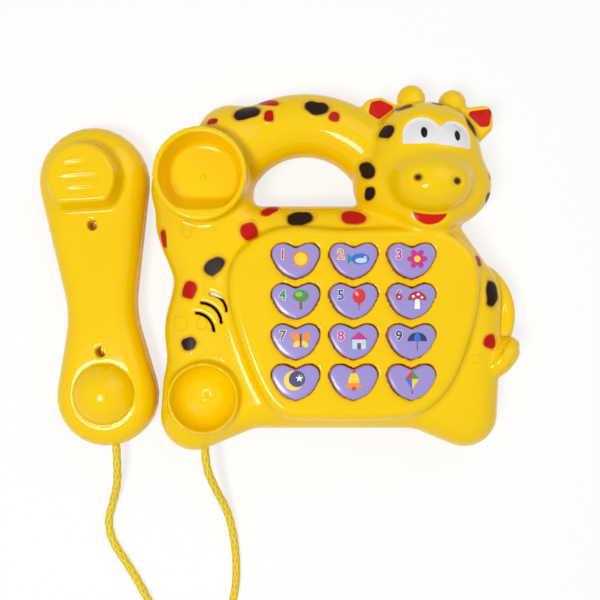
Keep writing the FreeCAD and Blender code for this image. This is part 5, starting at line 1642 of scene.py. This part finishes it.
tree.links.new(rim_relief.outputs[0], shader.inputs["Normal"])
wear([front], front_material)
print("coats of paint", len(coats))

# %% [markdown]
# The keys are a cool lavender plastic, glossy like the shell. Their sides carry a painted reflection, a
# warm tint that stands for the light the yellow walls of the holes throw onto them. A second material
# for the sides would leave a hard line, so the tint fades in with the height. The ink reads its colours
# from the mesh. The cord's threads carry painted shade: they are darker in the valleys between them
# than on their crests, and its mesh keeps their height in an attribute.

# %% Lavender keys
KEY_LAVENDER = screen(160, 148, 212)
# Painted reflection: the warm colour that stands for the light of the yellow walls on the key sides.
KEY_SIDE_REFLECTION = screen(186, 112, 124)
REFLECTION_LEVELS = (KEY_TOP - 0.2, KEY_TOP - 1.0)

key_material, tree, base, *_ = finish(
    "lavender_key",
    KEY_LAVENDER,
    roughness=0.22,
    variation=0.14,
    grain_size=300.0,
    bump=0.02,
    coat=0.2,
    specular=0.3,
)
# Painted reflection: below the top, the sides of the keys fade into the warm reflected tint.
height = add(tree, "SeparateXYZ", {0: object_place(tree)}).outputs["Z"]
side = ramp_node(tree, height, *(level * MM for level in REFLECTION_LEVELS))
tree.links.new(mix_colour(tree, side, KEY_LAVENDER, KEY_SIDE_REFLECTION), base.inputs["Colour"])
wear(keys.values(), key_material)
print("lavender pieces", len(keys))

# %% Ink and cord
# Painted shade: the valleys between the threads take a darker yellow than the crests.
CORD_VALLEY_SHADE = screen(220, 184, 20)
CORD_CREST = screen(246, 220, 50)
THREAD_ENDS = (-0.2, 0.9)

ink_finish = {"roughness": 0.32, "variation": 0.12, "grain_size": 1500.0, "bump": 0.02}
ink_material, tree, base, *_ = finish("key_ink", INK["white"], **ink_finish)
ink_colour = add(tree, "Attribute", attribute_name="ink").outputs["Color"]
tree.links.new(ink_colour, base.inputs["Colour"])
wear(ink_pieces, ink_material)

cord_finish = {"roughness": 0.62, "variation": 0.3, "grain_size": 2600.0, "bump": 0.5}
cord_material, tree, base, *_ = finish("yellow_braid", CORD_CREST, **cord_finish)
# Painted shade: the cord's colour goes darker from the crests of the threads down into the valleys.
thread = add(tree, "Attribute", attribute_name="thread").outputs["Fac"]
unshaded_crest = ramp_node(tree, thread, *THREAD_ENDS)
tree.links.new(mix_colour(tree, unshaded_crest, CORD_VALLEY_SHADE, CORD_CREST), base.inputs["Colour"])
wear([cord], cord_material)
print("printed pieces", len(ink_pieces))

# %% [markdown]
# The CAD nodes inside the telephone and on its back keep their own meshes and only need finishes. Most
# are one row of a table. The circuit board gets copper tracks under its green lacquer from a brick
# pattern, and the cells a band of colour at their ends.

# %% Plain finishes of the CAD nodes
PLAIN_FINISHES = {
    "screw_steel": (screen(196, 148, 66), 0.34, 0.5, 700.0, 0.1, 1.0),
    "contact_metal": (screen(196, 190, 176), 0.28, 0.4, 500.0, 0.06, 1.0),
    "pressed_steel": (screen(150, 152, 154), 0.36, 0.4, 400.0, 0.08, 1.0),
    "dark_magnet": (screen(62, 62, 66), 0.5, 0.4, 900.0, 0.12, 0.6),
    "cone_paper": (screen(48, 44, 42), 0.85, 0.5, 1500.0, 0.4, 0.0),
    "black_plastic": (screen(34, 34, 36), 0.42, 0.3, 700.0, 0.08, 0.0),
    "grey_rubber": (screen(128, 128, 126), 0.7, 0.3, 900.0, 0.12, 0.0),
    "black_resin": (screen(20, 20, 20), 0.22, 0.3, 300.0, 0.1, 0.0),
    "red_wire": (screen(188, 30, 28), 0.4, 0.2, 600.0, 0.05, 0.0),
}
NODES_OF_FINISH = {
    "screw_steel": ("shell_screws", "board_screws", "clamp_screws", "door_screws", "handset_screws"),
    "contact_metal": ("battery_link", "battery_contacts", "battery_springs"),
    "pressed_steel": ("speaker_frame",),
    "dark_magnet": ("speaker_magnet",),
    "cone_paper": ("speaker_cone",),
    "black_plastic": ("speaker_clamp", "switch_case", "switch_knob"),
    "grey_rubber": (),
    "black_resin": ("chip_blob",),
    "red_wire": ("speaker_wires",),
}
for name, (colour, roughness, variation, grain_size, bump, metallic) in PLAIN_FINISHES.items():
    material = finish(name, colour, roughness, variation, grain_size, bump, metallic)[0]
    wear([nodes[node] for node in NODES_OF_FINISH[name]], material)
wear([mat, *domes], bpy.data.materials["grey_rubber"])
wear([nodes["battery_door"]], shell_material)
wear([nodes["base_cord_knot"], nodes["handset_cord_knot"]], cord_material)
print("plain finishes", len(PLAIN_FINISHES))

# %% Circuit board and cells
BOARD_GREEN = screen(24, 96, 52)
TRACK_SCALE = 130.0
TRACK_WIDE = 0.03
SLEEVE_BLACK = screen(40, 42, 46)
BAND_COPPER = screen(196, 132, 70)
BAND_FROM = 14.0

board_finish = {"roughness": 0.3, "variation": 0.3, "grain_size": 900.0, "bump": 0.03}
board_material, tree, base, *_ = finish("green_board", BOARD_GREEN, **board_finish)
bricks = {
    "Vector": object_place(tree),
    "Scale": TRACK_SCALE,
    "Mortar Size": TRACK_WIDE,
    "Color1": BOARD_GREEN,
    "Color2": screen(22, 88, 48),
    "Mortar": screen(70, 140, 70),
}
tree.links.new(add(tree, "TexBrick", bricks).outputs["Color"], base.inputs["Colour"])
wear([nodes["circuit_board"]], board_material)

sleeve_finish = {"roughness": 0.3, "variation": 0.2, "grain_size": 800.0, "bump": 0.03}
sleeve_material, tree, base, *_ = finish("battery_sleeve", SLEEVE_BLACK, **sleeve_finish)
along = add(tree, "SeparateXYZ", {0: object_place(tree)}).outputs["X"]
band = math_node(tree, "GREATER_THAN", math_node(tree, "ABSOLUTE", along), BAND_FROM * MM)
tree.links.new(mix_colour(tree, band, SLEEVE_BLACK, BAND_COPPER), base.inputs["Colour"])
wear([nodes["battery_1"], nodes["battery_2"]], sleeve_material)
print("materials", len(bpy.data.materials))

# %% [markdown]
# The photograph is lit evenly from above, with soft highlights on the glossy plastic. A small softbox
# stands above the lower left and a larger one above the upper right, and the world gives the rest. The
# floor is white and takes the soft shadow. Its own glow is seen, also in reflections, but lights nothing,
# so the floor can be pale while the lamps stay at a plain level.

# %% Floor
FLOOR_SIZE = 16.0
FLOOR_DROP = 0.15
FLOOR_PALER = 0.75
FLOOR_CORNERS = np.array([[-1, -1, 0], [1, -1, 0], [1, 1, 0], [-1, 1, 0]])


def seen_ray(tree):
    """One for a ray that comes from the camera, a reflection or through glass, and zero for light."""
    paths = add(tree, "LightPath").outputs
    seen = math_node(tree, "ADD", paths["Is Camera Ray"], paths["Is Glossy Ray"])
    return math_node(tree, "MINIMUM", math_node(tree, "ADD", seen, paths["Is Transmission Ray"]), 1.0)


floor_points = FLOOR_CORNERS * FLOOR_SIZE / MM / 2 - np.array([0, 0, FLOOR_DROP])
floor = mesh_piece("floor", floor_points, np.array([[0, 1, 2, 3]]), smooth=False)
floor_finish = {"roughness": 0.8, "variation": 0.0, "grain_size": 40.0, "bump": 0.0}
floor_material, tree, _, _, shader = finish("white_floor", screen(254, 254, 254), **floor_finish)
glow = add(tree, "Emission", {"Color": (1, 1, 1, 1), "Strength": 1.0}).outputs[0]
paler = add(tree, "MixShader", {0: math_node(tree, "MULTIPLY", seen_ray(tree), FLOOR_PALER)})
tree.links.new(shader.outputs[0], paler.inputs[1])
tree.links.new(glow, paler.inputs[2])
tree.links.new(paler.outputs[0], tree.nodes["Material Output"].inputs["Surface"])
wear([floor], floor_material)
print("floor", FLOOR_SIZE, "m wide")

# %% Lamps and world
SOFTBOXES = {
    "softbox_left": ((-0.3, -0.26, 1.02), 0.28, 7.0),
    "softbox_right": ((0.5, 0.6, 0.85), 0.9, 3.4),
}
WORLD_LIGHT = 0.27
WORLD_SEEN = 0.82


def softbox(name, place, size, power):
    """A square area lamp that faces the middle of the floor."""
    lamp = bpy.data.lights.new(name, "AREA")
    lamp.size = size
    lamp.energy = power
    holder = bpy.data.objects.new(name, lamp)
    holder.location = place
    x, y, z = place
    holder.rotation_euler = (0, math.atan2(math.hypot(x, y), z), math.atan2(y, x))
    scene.collection.objects.link(holder)


for name, settings in SOFTBOXES.items():
    softbox(name, *settings)
world = bpy.data.worlds.new("studio")
world.use_nodes = True
tree = world.node_tree
brightness = {"Value": seen_ray(tree), "To Min": WORLD_LIGHT, "To Max": WORLD_SEEN}
strength = add(tree, "MapRange", brightness).outputs[0]
tree.nodes["Background"].inputs["Color"].default_value = (1, 1, 1, 1)
tree.links.new(strength, tree.nodes["Background"].inputs["Strength"])
scene.world = world
scene.view_settings.view_transform = "Standard"
print("lamps", len(bpy.data.lights))
